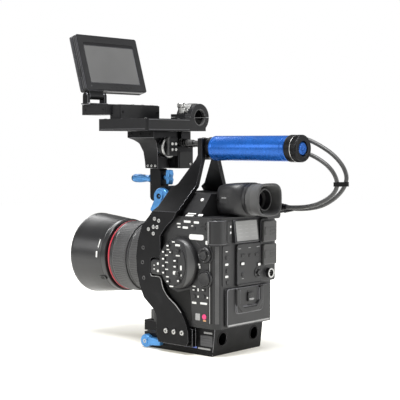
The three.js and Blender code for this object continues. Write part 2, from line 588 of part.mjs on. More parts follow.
// The foot plate with a round-topped lug at each end of the hinge.
function screenPost() {
  const low = SCREEN_ARM.z[1] + GAP;
  const foot = alongZ(roundedRectangle([POST_X[0], POST_FOOT.y[0]], [POST_X[1], POST_FOOT.y[1]], 2), low,
    low + POST_FOOT.thickness);
  const lug = (x0, x1) => join(
    block([x0, x1], [SCREEN_HINGE_Y - LUG.radius, SCREEN_HINGE_Y + LUG.radius], [low + 0.7, SCREEN_HINGE_Z]),
    cylinderX(LUG.radius, x0, x1, SCREEN_HINGE_Y, SCREEN_HINGE_Z, 20));
  return join(foot, lug(POST_X[0], POST_X[0] + LUG.width), lug(POST_X[1] - LUG.width, POST_X[1]));
}

const GLASS = { halfWidth: 44.3, z: [16.7, 66.5], depth: [1.2, 0.2] };
const KNUCKLE = { radius: 4.6, clearance: 0.3 };
const SEAM = { y: [-2.6, -1.4], depth: 1.2 };

// The screen housing about its hinge axis, before it leans: a seam runs round its edge, and a recess holds the glass.
function screenHousing() {
  const { x, y, z } = SCREEN_HALF;
  const low = SCREEN_LIFT;
  const high = low + 2 * z;
  const [left, right] = [SCREEN_CENTRE_X - x, SCREEN_CENTRE_X + x];
  const shell = alongY(roundedRectangle([left, low], [right, high], 3), -y, y);
  const knuckle = [POST_X[0] + LUG.width + KNUCKLE.clearance, POST_X[1] - LUG.width - KNUCKLE.clearance];
  const barrel = join(cylinderX(KNUCKLE.radius, ...knuckle, 0, 0, 20), block(knuckle, [-4, 4], [0, low + 1]));
  const seam = cut(block([left - 9, right + 9], SEAM.y, [low - 1, high + 1]),
    block([left + SEAM.depth, right - SEAM.depth], [SEAM.y[0] - 0.4, SEAM.y[1] + 0.4],
      [low + SEAM.depth, high - SEAM.depth]));
  const reach = GLASS.halfWidth + GAP;
  const recess = block([SCREEN_CENTRE_X - reach, SCREEN_CENTRE_X + reach], [y - GLASS.depth[0] - GAP, y + 1],
    [GLASS.z[0] - GAP, GLASS.z[1] + GAP]);
  return cut(join(shell, barrel), seam, recess);
}

const screenPanel = () => block([SCREEN_CENTRE_X - GLASS.halfWidth, SCREEN_CENTRE_X + GLASS.halfWidth],
  GLASS.depth.map((depth) => SCREEN_HALF.y - depth), GLASS.z);

const DRUM = { radius: 12.8, y: [-72, -57], z: 246 };

// The bracket is what its side outline and its rear outline have in common, with the drum on its rear.
function funnelBracket() {
  const side = polygon([[-108, 258], [-100, 255], [-94, 250], [-90.5, 240], [-89, 228], [-88.5, 219.3], [-67, 219.3],
    [-66.5, 228], [-66, 240], [-64, 252], [-62, 258], [-62, MONITOR_FLOOR - GAP], [-108, MONITOR_FLOOR - GAP]]);
  const face = polygon([[-10.5, 219.3], [10.5, 219.3], [11, 228], [12, 240], [16, 252], [23, 258],
    [23, MONITOR_FLOOR - GAP], [-23, MONITOR_FLOOR - GAP], [-23, 258], [-16, 252], [-12, 240], [-11, 228]]);
  return join(common(alongX(side, -30, 30), alongY(face, -120, -50)), cylinderY(DRUM.radius, ...DRUM.y, 0, DRUM.z, 32));
}

const RELIEFS = [{ x: -35, z: 250 }, { x: -22.5, z: 252 }];
const RELIEF_END = -34;
const CONNECTOR = { x: [-42, -14], y: [-80, -54], z: [219, 247] };
const CLAMP_HEAD = { halfWidth: 12, y: [-66, -44], z: [174.5, 197.5], cornerRadius: 5 };
const CLAMP_COLUMN = { halfWidth: 7.3, y: [-83.3, -65], z: [178, 219], cornerRadius: 6 };
const ARM_LEVER = { radius: 10.8, reach: 23.5, width: 13, thickness: 7.8, socket: 2.4, socketFloor: 5.5 };

function connectorBlock() {
  const { x: width, z: height } = CONNECTOR;
  const box = alongY(roundedRectangle([width[0], height[0]], [width[1], height[1]], 2), ...CONNECTOR.y);
  const neck = block([-41, -23.6], [-76, -57], [240, MONITOR_FLOOR - GAP]);
  const reliefs = RELIEFS.map(({ x, z }) => turnedAlongY([[0, -58], [4.6, -58], [4.4, -48], [3.2, -46],
    [2.9, RELIEF_END], [0, RELIEF_END]], 20).translate(x, 0, z));
  return join(box, neck, ...reliefs);
}

function clampPost() {
  const bar = ({ y, z, cornerRadius, halfWidth }) =>
    alongX(roundedRectangle([y[0], z[0]], [y[1], z[1]], cornerRadius), -halfWidth, halfWidth);
  const { halfWidth, y, z } = CLAMP_COLUMN;
  const neck = block([-halfWidth, halfWidth], [y[0], y[1] - 3.5], [z[1] - 14, z[1]]);
  return cut(join(bar(CLAMP_HEAD), bar(CLAMP_COLUMN), neck),
    cylinderY(STUB_RADIUS + 0.05, STUB_FRONT - 1, CLAMP_HEAD.y[1] + 4, 0, STUB_HEIGHT, 28));
}

const frontKnob = () => turnedAlongY([[0, -36.5], [4.4, -36.5], [5.4, -35], [5.6, -24], [4.4, -14], [4.6, -6],
  [5.2, -5], [4.6, -4], [4.6, 0], [0, 0]], 16);

function sideLever() {
  const blade = alongX(new THREE.Shape([[-2, -8.6], [2.5, -9.2], [4.5, -3], [3, 0], [4.5, 4], [3, 9.4], [-2, 10],
    [-3, 0]].map(([u, v]) => new THREE.Vector2(u, v))), -4.5, 4.5);
  return join(blade, cylinderY(3, -7, 0, 0, 0, 16));
}

function armLever() {
  const { radius, reach, width, thickness, socket, socketFloor } = ARM_LEVER;
  return cut(alongX(leverOutline(radius, reach, width), 0, thickness),
    cylinderX(socket, socketFloor, thickness + 1.2, 0, 0, 6));
}

// Cables: each point lies on the middle of the cable, from its strain relief to its plug.
const CABLE_A = [
  [-35, -33.7, 250], [-34.8, -24, 250.4], [-34.5, 0, 251.5], [-34.3, 30, 253], [-34, 60, 254.6], [-34, 90, 256],
  [-34, 112, 256.6], [-34, 130, 255.6], [-34.5, 142, 251.3], [-34.8, 153, 246], [-35, 164.6, 239.2],
  [-35.6, 174, 231.2], [-36.3, 181, 222], [-37, 184, 212], [-38, 181, 202], [-39, 173.5, 193],
  [-40.2, 162.3, 184.9], [-41.5, 147.6, 178], [-43, 128.4, 173.8], [-44, 112, 172.5], [-44, 103.9, 172.5],
];
const CABLE_B = [
  [-22.5, -33.7, 252], [-22.6, -24, 252], [-23.4, 0, 251.8], [-24, 30, 251], [-24, 60, 249.6], [-24, 90, 247.6],
  [-24, 112, 245], [-24, 130, 241.4], [-24, 143, 237.6], [-24.2, 155, 232.4], [-24.8, 166.5, 225],
  [-26, 174, 216.4], [-27.4, 177.2, 207.4], [-29, 175.6, 199.3], [-30.2, 169.6, 192], [-30.8, 160, 185.6],
  [-31.2, 147, 180], [-31.5, 132, 176.6], [-31.5, 116, 175.2], [-31.5, 103.9, 175],
];
const CABLE_SIDES = 8;
const CABLE_STEPS = 34;

function cableAlong(points) {
  const route = new THREE.CatmullRomCurve3(points.map((p) => new THREE.Vector3(...p)), false, 'centripetal');
  const ring = Array.from({ length: CABLE_SIDES }, (_, i) => {
    const angle = (2 * Math.PI * i) / CABLE_SIDES;
    return [CABLE_RADIUS * Math.cos(angle), CABLE_RADIUS * Math.sin(angle)];
  });
  return new THREE.ExtrudeGeometry(polygon(ring), { extrudePath: route, steps: CABLE_STEPS, bevelEnabled: false });
}

const cablePlug = () => turnedAlongY([[0, 73], [4.9, 73], [4.9, 79.4], [5.6, 79.4], [5.6, 88], [5, 89], [5, 91],
  [5.6, 92], [5.2, 94], [3.4, 96], [3, 103.6], [0, 103.6]], 14);

const base = grouped(0, 0, 0,
  named('base_block', baseBlock(), blackMetal),
  grouped(BASE_WIDTH / 2, -49, 8.5, named('base_lever', baseLever(), blueLever)),
  grouped(0, 0, BASE_HEIGHT + GAP, named('locating_plate', locatingPlate(), greyMetal)));

const screws = SCREW_PLACES.map((y, i) =>
  grouped(ARM_INNER, y, SCREW_HEIGHT, named(`arm_screw_${i + 1}`, armScrew(), screwSteel)));
const cage = grouped(0, 0, 0,
  named('cage_arm_left', cageArm(1), blackMetal),
  named('cage_arm_right', cageArm(-1), blackMetal),
  named('cage_bridge', cageBridge(), blackMetal),
  ...screws);

const handle = grouped(0, 0, 0,
  named('handle_block', handleBlock(), blackMetal),
  grouped(0, 0, HANDLE_HEIGHT,
    named('handle_tube', handleTube(), greyMetal),
    named('handle_grip', handleGrip(), blueGrip),
    named('handle_cap', handleCap(), blackMetal),
    named('handle_plug', handlePlug(), blueGrip)));

const camera = grouped(0, 0, 0,
  named('camera_shell', bodyShell(), blackPlastic),
  grouped(BODY_LEFT + GAP, 0, 0,
    named('control_cover', controlCover(), blackPlastic),
    grouped(0, DIAL.y, DIAL.z, named('select_dial', selectDial(), blackPlastic)),
    grouped(0, RECORD.y, RECORD.z, named('record_button', recordButton(), blackPlastic)),
    ...SIDE_BUTTONS.map(({ y, z }, i) =>
      grouped(8.4, y, z, named(`side_button_${i + 1}`, sideButton(), blackPlastic)))),
  named('card_door', cardDoor(), blackPlastic),
  grouped(0, 0, LENS_HEIGHT,
    named('mount_ring', mountRing(), greyMetal),
    named('sensor_block', sensorBlock(), greyMetal)),
  named('main_board', mainBoard(), boardGreen),
  named('battery_pack', batteryPack(), blackPlastic),
  named('battery_cover', batteryCover(), blackPlastic),
  grouped(LATCH.x, REAR_FACE + 4.3, LATCH.z, named('battery_latch', batteryLatch(), blackPlastic)),
  named('status_screen', statusScreen(), statusGlass),
  named('rear_panel', rearPanel(), blackPlastic),
  grouped(JOYSTICK.x, REAR_FACE + 1.1, JOYSTICK.z, named('rear_joystick', rearJoystick(), blackPlastic)),
  named('terminal_column', terminalColumn(), blackPlastic),
  named('terminal_flap_lower', terminalFlap(FLAPS[0]), rubber),
  named('terminal_flap_upper', terminalFlap(FLAPS[1]), rubber));

const viewfinder = grouped(0, FINDER_PIVOT_Y, FINDER_HEIGHT,
  named('viewfinder_body', finderBody(), blackPlastic),
  named('eyecup', eyecup(), rubber),
  named('eyepiece_lens', eyepieceLens(), darkGlass),
  grouped(-DIOPTRE.seat - GAP, DIOPTRE.y, DIOPTRE.z, named('dioptre_dial', dioptreDial(), blackPlastic)));

const lens = grouped(0, 0, LENS_HEIGHT,
  named('lens_barrel', lensBarrel(), blackPlastic),
  named('zoom_ring', lensRing(ZOOM_RING), rubber),
  named('focus_ring', lensRing(FOCUS_RING), rubber),
  named('red_ring', lensRing(RED_RING), redPaint),
  named('lens_hood', lensHood(), blackPlastic),
  named('front_element', frontElement(), darkGlass));

const screen = grouped(0, SCREEN_HINGE_Y, SCREEN_HINGE_Z,
  named('screen_housing', screenHousing(), blackPlastic),
  named('screen_panel', screenPanel(), screenGlass));
screen.rotation.x = SCREEN_LEAN;

const monitor = grouped(0, 0, 0,
  named('monitor_base', monitorBase(), blackPlastic),
  named('screen_post', screenPost(), blackPlastic),
  screen,
  grouped(MIC_X, -67, MIC_HEIGHT, named('mic_lid', micLid(), blackPlastic),
    grouped(22, 12.5, 0.3, named('mic_thumbscrew', micThumbscrew(), screwSteel))),
  named('funnel_bracket', funnelBracket(), blackMetal),
  named('connector_block', connectorBlock(), blackPlastic),
  named('clamp_post', clampPost(), blackMetal),
  grouped(0, -83.6, 206, named('front_knob', frontKnob(), blueLever)),
  grouped(0, -57.6, 208, named('side_lever', sideLever(), blueLever)));

const armLeverMesh = named('arm_lever', armLever(), blueLever);
armLeverMesh.rotation.x = THREE.MathUtils.degToRad(-125);
monitor.add(grouped(12.3, -54, 185, armLeverMesh));

const cables = grouped(0, 0, 0,
  named('cable_outer', cableAlong(CABLE_A), rubber),
  named('cable_inner', cableAlong(CABLE_B), rubber),
  ...SOCKETS.map(({ x, z }, i) =>
    grouped(x, 0, z, named(i ? 'plug_inner' : 'plug_outer', cablePlug(), blackMetal))));

const group = new THREE.Group();
group.add(base, cage, handle, camera, viewfinder, lens, monitor, cables);

export default group;
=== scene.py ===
"""Looks of a cinema camera rig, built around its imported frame.

The rig is a camera body in a curved two-arm cage on a rod baseplate, with a hooded lens, a tube top handle,
a rear viewfinder, and a monitor and microphone unit on a clamp post. Sizes are in millimetres and are turned
into metres where a piece is placed. +Z is up, the lens looks along -Y, and the operator's left is +X.
"""

from __future__ import annotations

import json
import logging
import math
from collections.abc import Callable, Sequence
from dataclasses import dataclass, field, replace
from enum import Enum

import bmesh
import bpy
import numpy as np
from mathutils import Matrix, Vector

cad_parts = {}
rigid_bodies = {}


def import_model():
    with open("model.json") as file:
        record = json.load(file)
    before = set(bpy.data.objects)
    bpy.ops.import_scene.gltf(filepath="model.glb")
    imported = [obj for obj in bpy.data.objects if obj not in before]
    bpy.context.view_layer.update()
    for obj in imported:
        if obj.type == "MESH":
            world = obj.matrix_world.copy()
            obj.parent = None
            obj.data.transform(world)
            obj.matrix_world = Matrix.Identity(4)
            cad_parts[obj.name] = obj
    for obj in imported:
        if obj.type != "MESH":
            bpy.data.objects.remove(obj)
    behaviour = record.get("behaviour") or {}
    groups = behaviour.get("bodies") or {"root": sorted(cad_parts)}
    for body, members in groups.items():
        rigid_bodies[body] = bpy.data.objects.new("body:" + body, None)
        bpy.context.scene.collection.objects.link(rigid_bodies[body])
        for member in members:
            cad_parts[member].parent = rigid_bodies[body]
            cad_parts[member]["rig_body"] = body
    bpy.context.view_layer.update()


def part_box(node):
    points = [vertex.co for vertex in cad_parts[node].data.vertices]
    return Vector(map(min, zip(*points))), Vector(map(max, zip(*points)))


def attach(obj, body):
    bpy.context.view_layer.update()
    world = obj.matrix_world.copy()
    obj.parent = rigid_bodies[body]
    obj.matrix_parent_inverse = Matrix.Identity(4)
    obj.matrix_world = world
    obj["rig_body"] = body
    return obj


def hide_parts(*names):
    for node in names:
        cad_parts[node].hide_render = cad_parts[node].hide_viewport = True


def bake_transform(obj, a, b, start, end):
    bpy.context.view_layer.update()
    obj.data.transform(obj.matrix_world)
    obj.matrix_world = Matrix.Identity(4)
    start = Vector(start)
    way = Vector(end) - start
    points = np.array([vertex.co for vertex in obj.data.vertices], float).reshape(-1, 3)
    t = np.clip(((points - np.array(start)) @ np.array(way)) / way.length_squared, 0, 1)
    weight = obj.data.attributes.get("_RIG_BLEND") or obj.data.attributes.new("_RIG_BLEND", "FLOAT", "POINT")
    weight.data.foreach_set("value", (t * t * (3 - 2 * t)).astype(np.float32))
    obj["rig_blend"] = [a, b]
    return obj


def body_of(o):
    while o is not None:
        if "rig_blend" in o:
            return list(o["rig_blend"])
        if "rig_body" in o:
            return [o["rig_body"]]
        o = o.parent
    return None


LOG = logging.getLogger("camera_rig")
MM = 0.001
EDGE_HIGHLIGHT = 1  # the material slot of rounded edges, which get a paler finish as a painted highlight
Floats = np.ndarray
Colour = tuple[float, float, float]


# ---------------------------------------------------------------- finishes


class Graph:
    """A material's node graph, with short calls for the few nodes that the finishes use."""

    def __init__(self, name: str) -> None:
        """Starts a material of that name with its Principled shader.

        Args:
            name: the material's name.
        """
        self.material = bpy.data.materials.new(name)
        self.material.use_nodes = True
        self.nodes = self.material.node_tree.nodes
        self.links = self.material.node_tree.links
        self.shader = self.nodes["Principled BSDF"]
        self.place = self.nodes.new("ShaderNodeTexCoord").outputs["Object"]

    def set(self, **sockets: float | tuple) -> None:
        """Sets constant values on the shader's own sockets, with spaces written as underscores."""
        for name, value in sockets.items():
            self.shader.inputs[name.replace("_", " ")].default_value = value

    def link(self, output: bpy.types.NodeSocket, socket: str) -> None:
        """Joins an output to one of the shader's sockets."""
        self.links.new(output, self.shader.inputs[socket])

    def stretched(self, along: Sequence[float], centre: Sequence[float] = (0, 0, 0)) -> bpy.types.NodeSocket:
        """Object coordinates moved to a centre and stretched along each axis.

        Args:
            along: the scale along X, Y and Z.
            centre: the point that becomes the origin, in metres.

        Returns:
            The vector socket.
        """
        moved = self.nodes.new("ShaderNodeVectorMath")
        moved.operation = "SUBTRACT"
        moved.inputs[1].default_value = centre
        scaled = self.nodes.new("ShaderNodeVectorMath")
        scaled.operation = "MULTIPLY"
        scaled.inputs[1].default_value = along
        self.links.new(self.place, moved.inputs[0])
        self.links.new(moved.outputs[0], scaled.inputs[0])
        return scaled.outputs[0]

    def noise(self, scale: float, detail: float = 3.0,
            vector: bpy.types.NodeSocket | None = None) -> bpy.types.NodeSocket:
        """A soft random value from 0 to 1, `scale` grains to the metre.

        Args:
            scale: grains to the metre.
            detail: how many finer layers it has.
            vector: the coordinates it reads, or None for Object coordinates.

        Returns:
            The value socket.
        """
        node = self.nodes.new("ShaderNodeTexNoise")
        node.inputs["Scale"].default_value = scale
        node.inputs["Detail"].default_value = detail
        self.links.new(vector or self.place, node.inputs["Vector"])
        return node.outputs["Fac"]

    def cells(self, scale: float) -> bpy.types.NodeSocket:
        """The distance to the nearest of many scattered points, as on a moulded grain."""
        node = self.nodes.new("ShaderNodeTexVoronoi")
        node.inputs["Scale"].default_value = scale
        self.links.new(self.place, node.inputs["Vector"])
        return node.outputs["Distance"]

    def falloff(self, centre: Sequence[float], radius: float) -> bpy.types.NodeSocket:
        """A value that falls from 1 at a centre to 0 at a radius, both in metres."""
        node = self.nodes.new("ShaderNodeTexGradient")
        node.gradient_type = "SPHERICAL"
        self.links.new(self.stretched((1 / radius,) * 3, centre), node.inputs["Vector"])
        return node.outputs["Fac"]

    def ramp(self, value: bpy.types.NodeSocket, stops: Sequence[tuple[float,
            Colour]]) -> bpy.types.NodeSocket:
        """A value turned into a colour.

        Args:
            value: the value socket.
            stops: each stop's place from 0 to 1 and its colour.

        Returns:
            The colour socket.
        """
        node = self.nodes.new("ShaderNodeValToRGB")
        points = node.color_ramp.elements
        while len(points) < len(stops):
            points.new(0.5)
        for point, (place, colour) in zip(points, stops):
            point.position = place
            point.color = (*colour, 1.0)
        self.links.new(value, node.inputs["Fac"])
        return node.outputs["Color"]

    def span(self, value: bpy.types.NodeSocket, low: float, high: float) -> bpy.types.NodeSocket:
        """A value from 0 to 1 carried to the range from low to high."""
        node = self.nodes.new("ShaderNodeMapRange")
        node.inputs["To Min"].default_value = low
        node.inputs["To Max"].default_value = high
        self.links.new(value, node.inputs["Value"])
        return node.outputs["Result"]

    def bump(self, height: bpy.types.NodeSocket, strength: float, depth: float) -> None:
        """Gives the shader a bump.

        Args:
            height: the height socket.
            strength: from 0 to 1.
            depth: how deep the full height is, in millimetres.
        """
        node = self.nodes.new("ShaderNodeBump")
        node.inputs["Strength"].default_value = strength
        node.inputs["Distance"].default_value = depth * MM
        self.links.new(height, node.inputs["Height"])
        self.link(node.outputs["Normal"], "Normal")


def tinted(colour: Colour, by: float) -> Colour:
    """A colour made lighter or darker by a factor."""
    return tuple(min(1.0, c * by) for c in colour)


@dataclass(frozen=True)
class Finish:
    """A surface finish: its name, the record's material slot, which is not used, its colour and how rough it
    is.
    """

    name: str
    slot: str
    colour: Colour
    roughness: float = 0.5
    # how much paler the rounded edges are: a painted highlight
    edge: float = 1.9

    def material(self) -> bpy.types.Material:
        """The material, made the first time that it is asked for."""
        name = f"{self.name}_finish"  # the frame's own plain materials carry the slots' names
        found = bpy.data.materials.get(name)
        return found or self.paint(Graph(name)).material

    def edge_highlight_material(self) -> bpy.types.Material:
        """The same finish on rounded edges: paler, as a painted highlight, and smoother."""
        highlighted = replace(self, name=f"{self.name}_edge", colour=tinted(self.colour, self.edge),
            roughness=max(0.15, self.roughness * 0.75))
        return highlighted.material()

    def paint(self, graph: Graph) -> Graph:
        """Lays the finish on a new graph. Each kind of finish has its own."""
        raise NotImplementedError


@dataclass(frozen=True)
class Anodised(Finish):
    """Anodised aluminium: a dyed satin skin with faint mottling, a blasted grain and paler worn patches."""

    metallic: float = 0.85
    grain: float = 2600.0
    wear: float = 1.5

    def paint(self, graph: Graph) -> Graph:
        """Colour from two noises, roughness from one, and a fine bump."""
        mottle = graph.noise(55.0, 4.0)
        graph.link(graph.ramp(mottle, [(0.3, tinted(self.colour, 0.82)), (0.62, self.colour),
            (0.85, tinted(self.colour, self.wear))]), "Base Color")
        graph.link(graph.span(graph.noise(190.0, 5.0), self.roughness - 0.07, self.roughness + 0.09),
            "Roughness")
        graph.set(Metallic=self.metallic)
        graph.bump(graph.noise(self.grain, 2.0), 0.22, 0.05)
        return graph


@dataclass(frozen=True)
class Turned(Finish):
    """Bare turned or brushed metal, with fine tool marks that run round the axis `along`."""

    along: tuple[float, float, float] = (60.0, 4000.0, 60.0)

    def paint(self, graph: Graph) -> Graph:
        """Tool marks from a noise stretched across the axis drive the colour, roughness and bump."""
        marks = graph.noise(1.0, 3.0, graph.stretched(self.along))
        graph.link(graph.ramp(marks, [(0.3, tinted(self.colour, 0.8)), (0.7, tinted(self.colour, 1.15))]),
            "Base Color")
        graph.link(graph.span(marks, self.roughness - 0.08, self.roughness + 0.1), "Roughness")
        graph.set(Metallic=1.0)
        graph.bump(marks, 0.25, 0.03)
        return graph


@dataclass(frozen=True)
class Moulded(Finish):
    """Moulded plastic: a leathery pebble grain, faint handling marks and a little dust in the grain."""

    grain: float = 1900.0
    depth: float = 0.06
    coat: float = 0.0
    gloss: float = 0.5

    def paint(self, graph: Graph) -> Graph:
        """Pebbles from scattered cells, with the colour and the roughness varied by slow noises."""
        slow = graph.noise(38.0, 4.0)
        graph.link(graph.ramp(slow, [(0.25, tinted(self.colour, 0.8)), (0.6, self.colour),
            (0.9, tinted(self.colour, 1.5))]), "Base Color")
        graph.link(graph.span(graph.noise(120.0, 6.0), self.roughness - 0.08, self.roughness + 0.1),
            "Roughness")
        graph.set(Coat_Weight=self.coat, Coat_Roughness=0.3, Specular_IOR_Level=self.gloss)
        graph.bump(graph.cells(self.grain), 0.3, self.depth)
        return graph


@dataclass(frozen=True)
class Rubbery(Finish):
    """Matt moulded rubber, with a dry bloom on its broad faces."""

    def paint(self, graph: Graph) -> Graph:
        """A fine grain under a slow change from dark to bloomed."""
        bloom = graph.noise(70.0, 5.0)
        graph.link(graph.ramp(bloom, [(0.3, tinted(self.colour, 0.75)), (0.8, tinted(self.colour, 1.6))]),
            "Base Color")
        graph.link(graph.span(bloom, self.roughness - 0.05, self.roughness + 0.08), "Roughness")
        graph.set(Sheen_Weight=0.25, Sheen_Roughness=0.6)
        graph.bump(graph.noise(1500.0, 2.0), 0.2, 0.05)
        return graph


@dataclass(frozen=True)
class Glassy(Finish):
    """Polished glass or clear plastic over a dark or grey ground, with a few smears."""

    coat: float = 1.0
    tint: Colour = (1.0, 1.0, 1.0)

    def paint(self, graph: Graph) -> Graph:
        """A glossy coat over the ground, with the ground's colour varied slowly by a wide noise."""
        slow = graph.noise(14.0, 2.0)
        graph.link(graph.ramp(slow, [(0.3, tinted(self.colour, 0.9)), (0.7, tinted(self.colour, 1.12))]),
            "Base Color")
        graph.link(graph.span(graph.noise(40.0, 5.0), self.roughness, self.roughness + 0.08), "Roughness")
        graph.set(Coat_Weight=self.coat, Coat_Roughness=0.04, Coat_Tint=(*self.tint, 1.0))
        return graph


@dataclass(frozen=True)
class Printed(Finish):
    """Printed ink or lacquer: even, with slight wear."""

    def paint(self, graph: Graph) -> Graph:
        """A fine noise takes a little of the ink away."""
        speckle = graph.noise(900.0, 3.0)
        graph.link(graph.ramp(speckle, [(0.28, tinted(self.colour, 0.7)), (0.45, self.colour)]), "Base Color")
        graph.link(graph.span(speckle, self.roughness - 0.05, self.roughness + 0.05), "Roughness")
        graph.bump(speckle, 0.1, 0.02)
        return graph


# The fifth value of a finish, where given, is how much paler its rounded edges are: a painted highlight.
BLACK_METAL = Anodised("black_anodised", "black_metal", (0.015, 0.015, 0.016), 0.38, 13.0)
GREY_METAL = Turned("turned_grey_metal", "grey_metal", (0.42, 0.42, 0.41), 0.32, 1.1)
SCREW_STEEL = Turned("machined_steel", "screw_steel", (0.55, 0.55, 0.54), 0.28, 1.1, (900.0, 900.0, 900.0))
BLUE_GRIP = Anodised("blue_anodised_grip", "blue_grip", (0.010, 0.105, 0.44), 0.27, 1.2, 0.5, 3000.0, 1.1)
BLUE_LEVER = Anodised("sky_blue_anodised", "blue_lever", (0.09, 0.31, 0.68), 0.34, 1.35, 0.45, 2600.0, 1.1)
BODY_PLASTIC = Moulded("body_plastic", "body_plastic", (0.013, 0.013, 0.014), 0.42, 10.0)
CONTROL_PLASTIC = Moulded("control_plastic", "control_plastic", (0.012, 0.012, 0.013), 0.36, 5.0, 3200.0,
    0.02)
MONITOR_PLASTIC = Moulded("monitor_plastic", "monitor_plastic", (0.009, 0.009, 0.01), 0.44, 14.0, 2300.0,
    0.05, 0.0, 0.25)
LENS_PLASTIC = Moulded("lens_plastic", "lens_plastic", (0.011, 0.011, 0.012), 0.32, 2.0, 3600.0, 0.02, 0.3)
RING_RUBBER = Rubbery("ribbed_rubber", "ring_rubber", (0.016, 0.016, 0.017), 0.42)
SOFT_RUBBER = Rubbery("soft_rubber", "soft_rubber", (0.024, 0.024, 0.024), 0.62)
CABLE_JACKET = Rubbery("cable_jacket", "cable_jacket", (0.022, 0.022, 0.022), 0.45)
RED_PAINT = Printed("red_lacquer", "red_paint", (0.5, 0.04, 0.06), 0.35)
# near-black used only for painted shade and painted shadow
PAINTED_SHADE = Printed("painted_shade", "body_plastic", (0.004, 0.004, 0.004), 0.8)
LENS_GLASS = Glassy("coated_lens_glass", "lens_glass", (0.012, 0.010, 0.018), 0.03, 1.0, 1.0,
    (0.75, 0.7, 1.0))
SCREEN_GLASS = Glassy("screen_glass", "screen_glass", (0.11, 0.11, 0.11), 0.1, 1.0, 0.1)
STATUS_GLASS = Glassy("status_glass", "status_glass", (0.28, 0.28, 0.275), 0.3, 1.0, 0.4)
WHITE_PRINT = Printed("white_print", "control_plastic", (0.78, 0.78, 0.76), 0.5)
# grey print for real markings; also used for painted highlight lines on edges and corners
GREY_PRINT_AND_HIGHLIGHT = Printed("grey_print", "control_plastic", (0.34, 0.34, 0.34), 0.5)
BLUE_PRINT = Printed("blue_print", "black_metal", (0.12, 0.2, 0.7), 0.5)
MAGENTA_PRINT = Printed("magenta_print", "control_plastic", (0.8, 0.05, 0.2), 0.4)
# pale grey plastic for real pale parts; also used for painted highlights on shoulders, ridges and corners
PALE_PLASTIC_AND_HIGHLIGHT = Moulded("pale_plastic_and_highlight", "body_plastic", (0.06, 0.06, 0.061), 0.3, 1.6, 3200.0, 0.02)
WARM_PRINT = Printed("warm_print", "control_plastic", (0.85, 0.45, 0.2), 0.4)
GREY_DARK = Printed("dark_grey_print", "black_metal", (0.075, 0.075, 0.08), 0.45)
BOARD = Moulded("circuit_board", "board", (0.03, 0.1, 0.05), 0.4, 1.2, 900.0, 0.03)
BATTERY = Moulded("battery_case", "battery", (0.05, 0.05, 0.05), 0.35)


# ---------------------------------------------------------------- surfaces


@dataclass(frozen=True)
class WorkPlane:
    """A flat work plane: where its own zero lies, and the directions along it, up it and out of it."""

    origin: tuple[float, float, float]
    along: tuple[float, float, float]
    up: tuple[float, float, float]
    out: tuple[float, float, float]

    def lift(self, flat: Floats) -> Floats:
        """Millimetres on the plane as metres in the rig's frame: origin + a along + b up + c out."""
        basis = np.array([self.along, self.up, self.out], float)
        return (np.asarray(flat, float) @ basis + np.array(self.origin, float)) * MM

    def moved(self, along: float, up: float, out: float = 0.0) -> WorkPlane:
        """The same plane with its zero moved, in millimetres."""
        return WorkPlane(tuple(self.lift(np.array([along, up, out])) / MM), self.along, self.up, self.out)

    def turned(self, degrees: float) -> WorkPlane:
        """The same plane turned about its own `out`, from `along` towards `up`."""
        c, s = math.cos(math.radians(degrees)), math.sin(math.radians(degrees))
        a, u = np.array(self.along, float), np.array(self.up, float)
        return WorkPlane(self.origin, tuple(a * c + u * s), tuple(u * c - a * s), self.out)


def left_plane(x: float) -> WorkPlane:
    """The plane at `x` that faces the operator's left: (y, z, outwards)."""
    return WorkPlane((x, 0, 0), (0, 1, 0), (0, 0, 1), (1, 0, 0))


def right_plane(x: float) -> WorkPlane:
    """The plane at `x` that faces the operator's right: (y, z, outwards)."""
    return WorkPlane((x, 0, 0), (0, 1, 0), (0, 0, 1), (-1, 0, 0))


def rear_plane(y: float) -> WorkPlane:
    """The plane at `y` that faces the rear: (x, z, outwards)."""
    return WorkPlane((0, y, 0), (1, 0, 0), (0, 0, 1), (0, 1, 0))


def front_plane(y: float) -> WorkPlane:
    """The plane at `y` that faces the front: (x, z, outwards)."""
    return WorkPlane((0, y, 0), (1, 0, 0), (0, 0, 1), (0, -1, 0))


def top_plane(z: float) -> WorkPlane:
    """The plane at `z` that faces up: (x, y, outwards)."""
    return WorkPlane((0, 0, z), (1, 0, 0), (0, 1, 0), (0, 0, 1))


def under_plane(z: float) -> WorkPlane:
    """The plane at `z` that faces down: (x, y, outwards)."""
    return WorkPlane((0, 0, z), (1, 0, 0), (0, 1, 0), (0, 0, -1))


class Side(Enum):
    """The operator's two sides; the value is the word that piece names carry."""

    LEFT = "left"
    RIGHT = "right"

    @property
    def sign(self) -> float:
        """The sign that X has on this side."""
        return 1.0 if self is Side.LEFT else -1.0

    def plane(self, reach: float) -> WorkPlane:
        """The plane that faces outwards on this side, `reach` from the rig's middle."""
        return left_plane(reach) if self is Side.LEFT else right_plane(-reach)


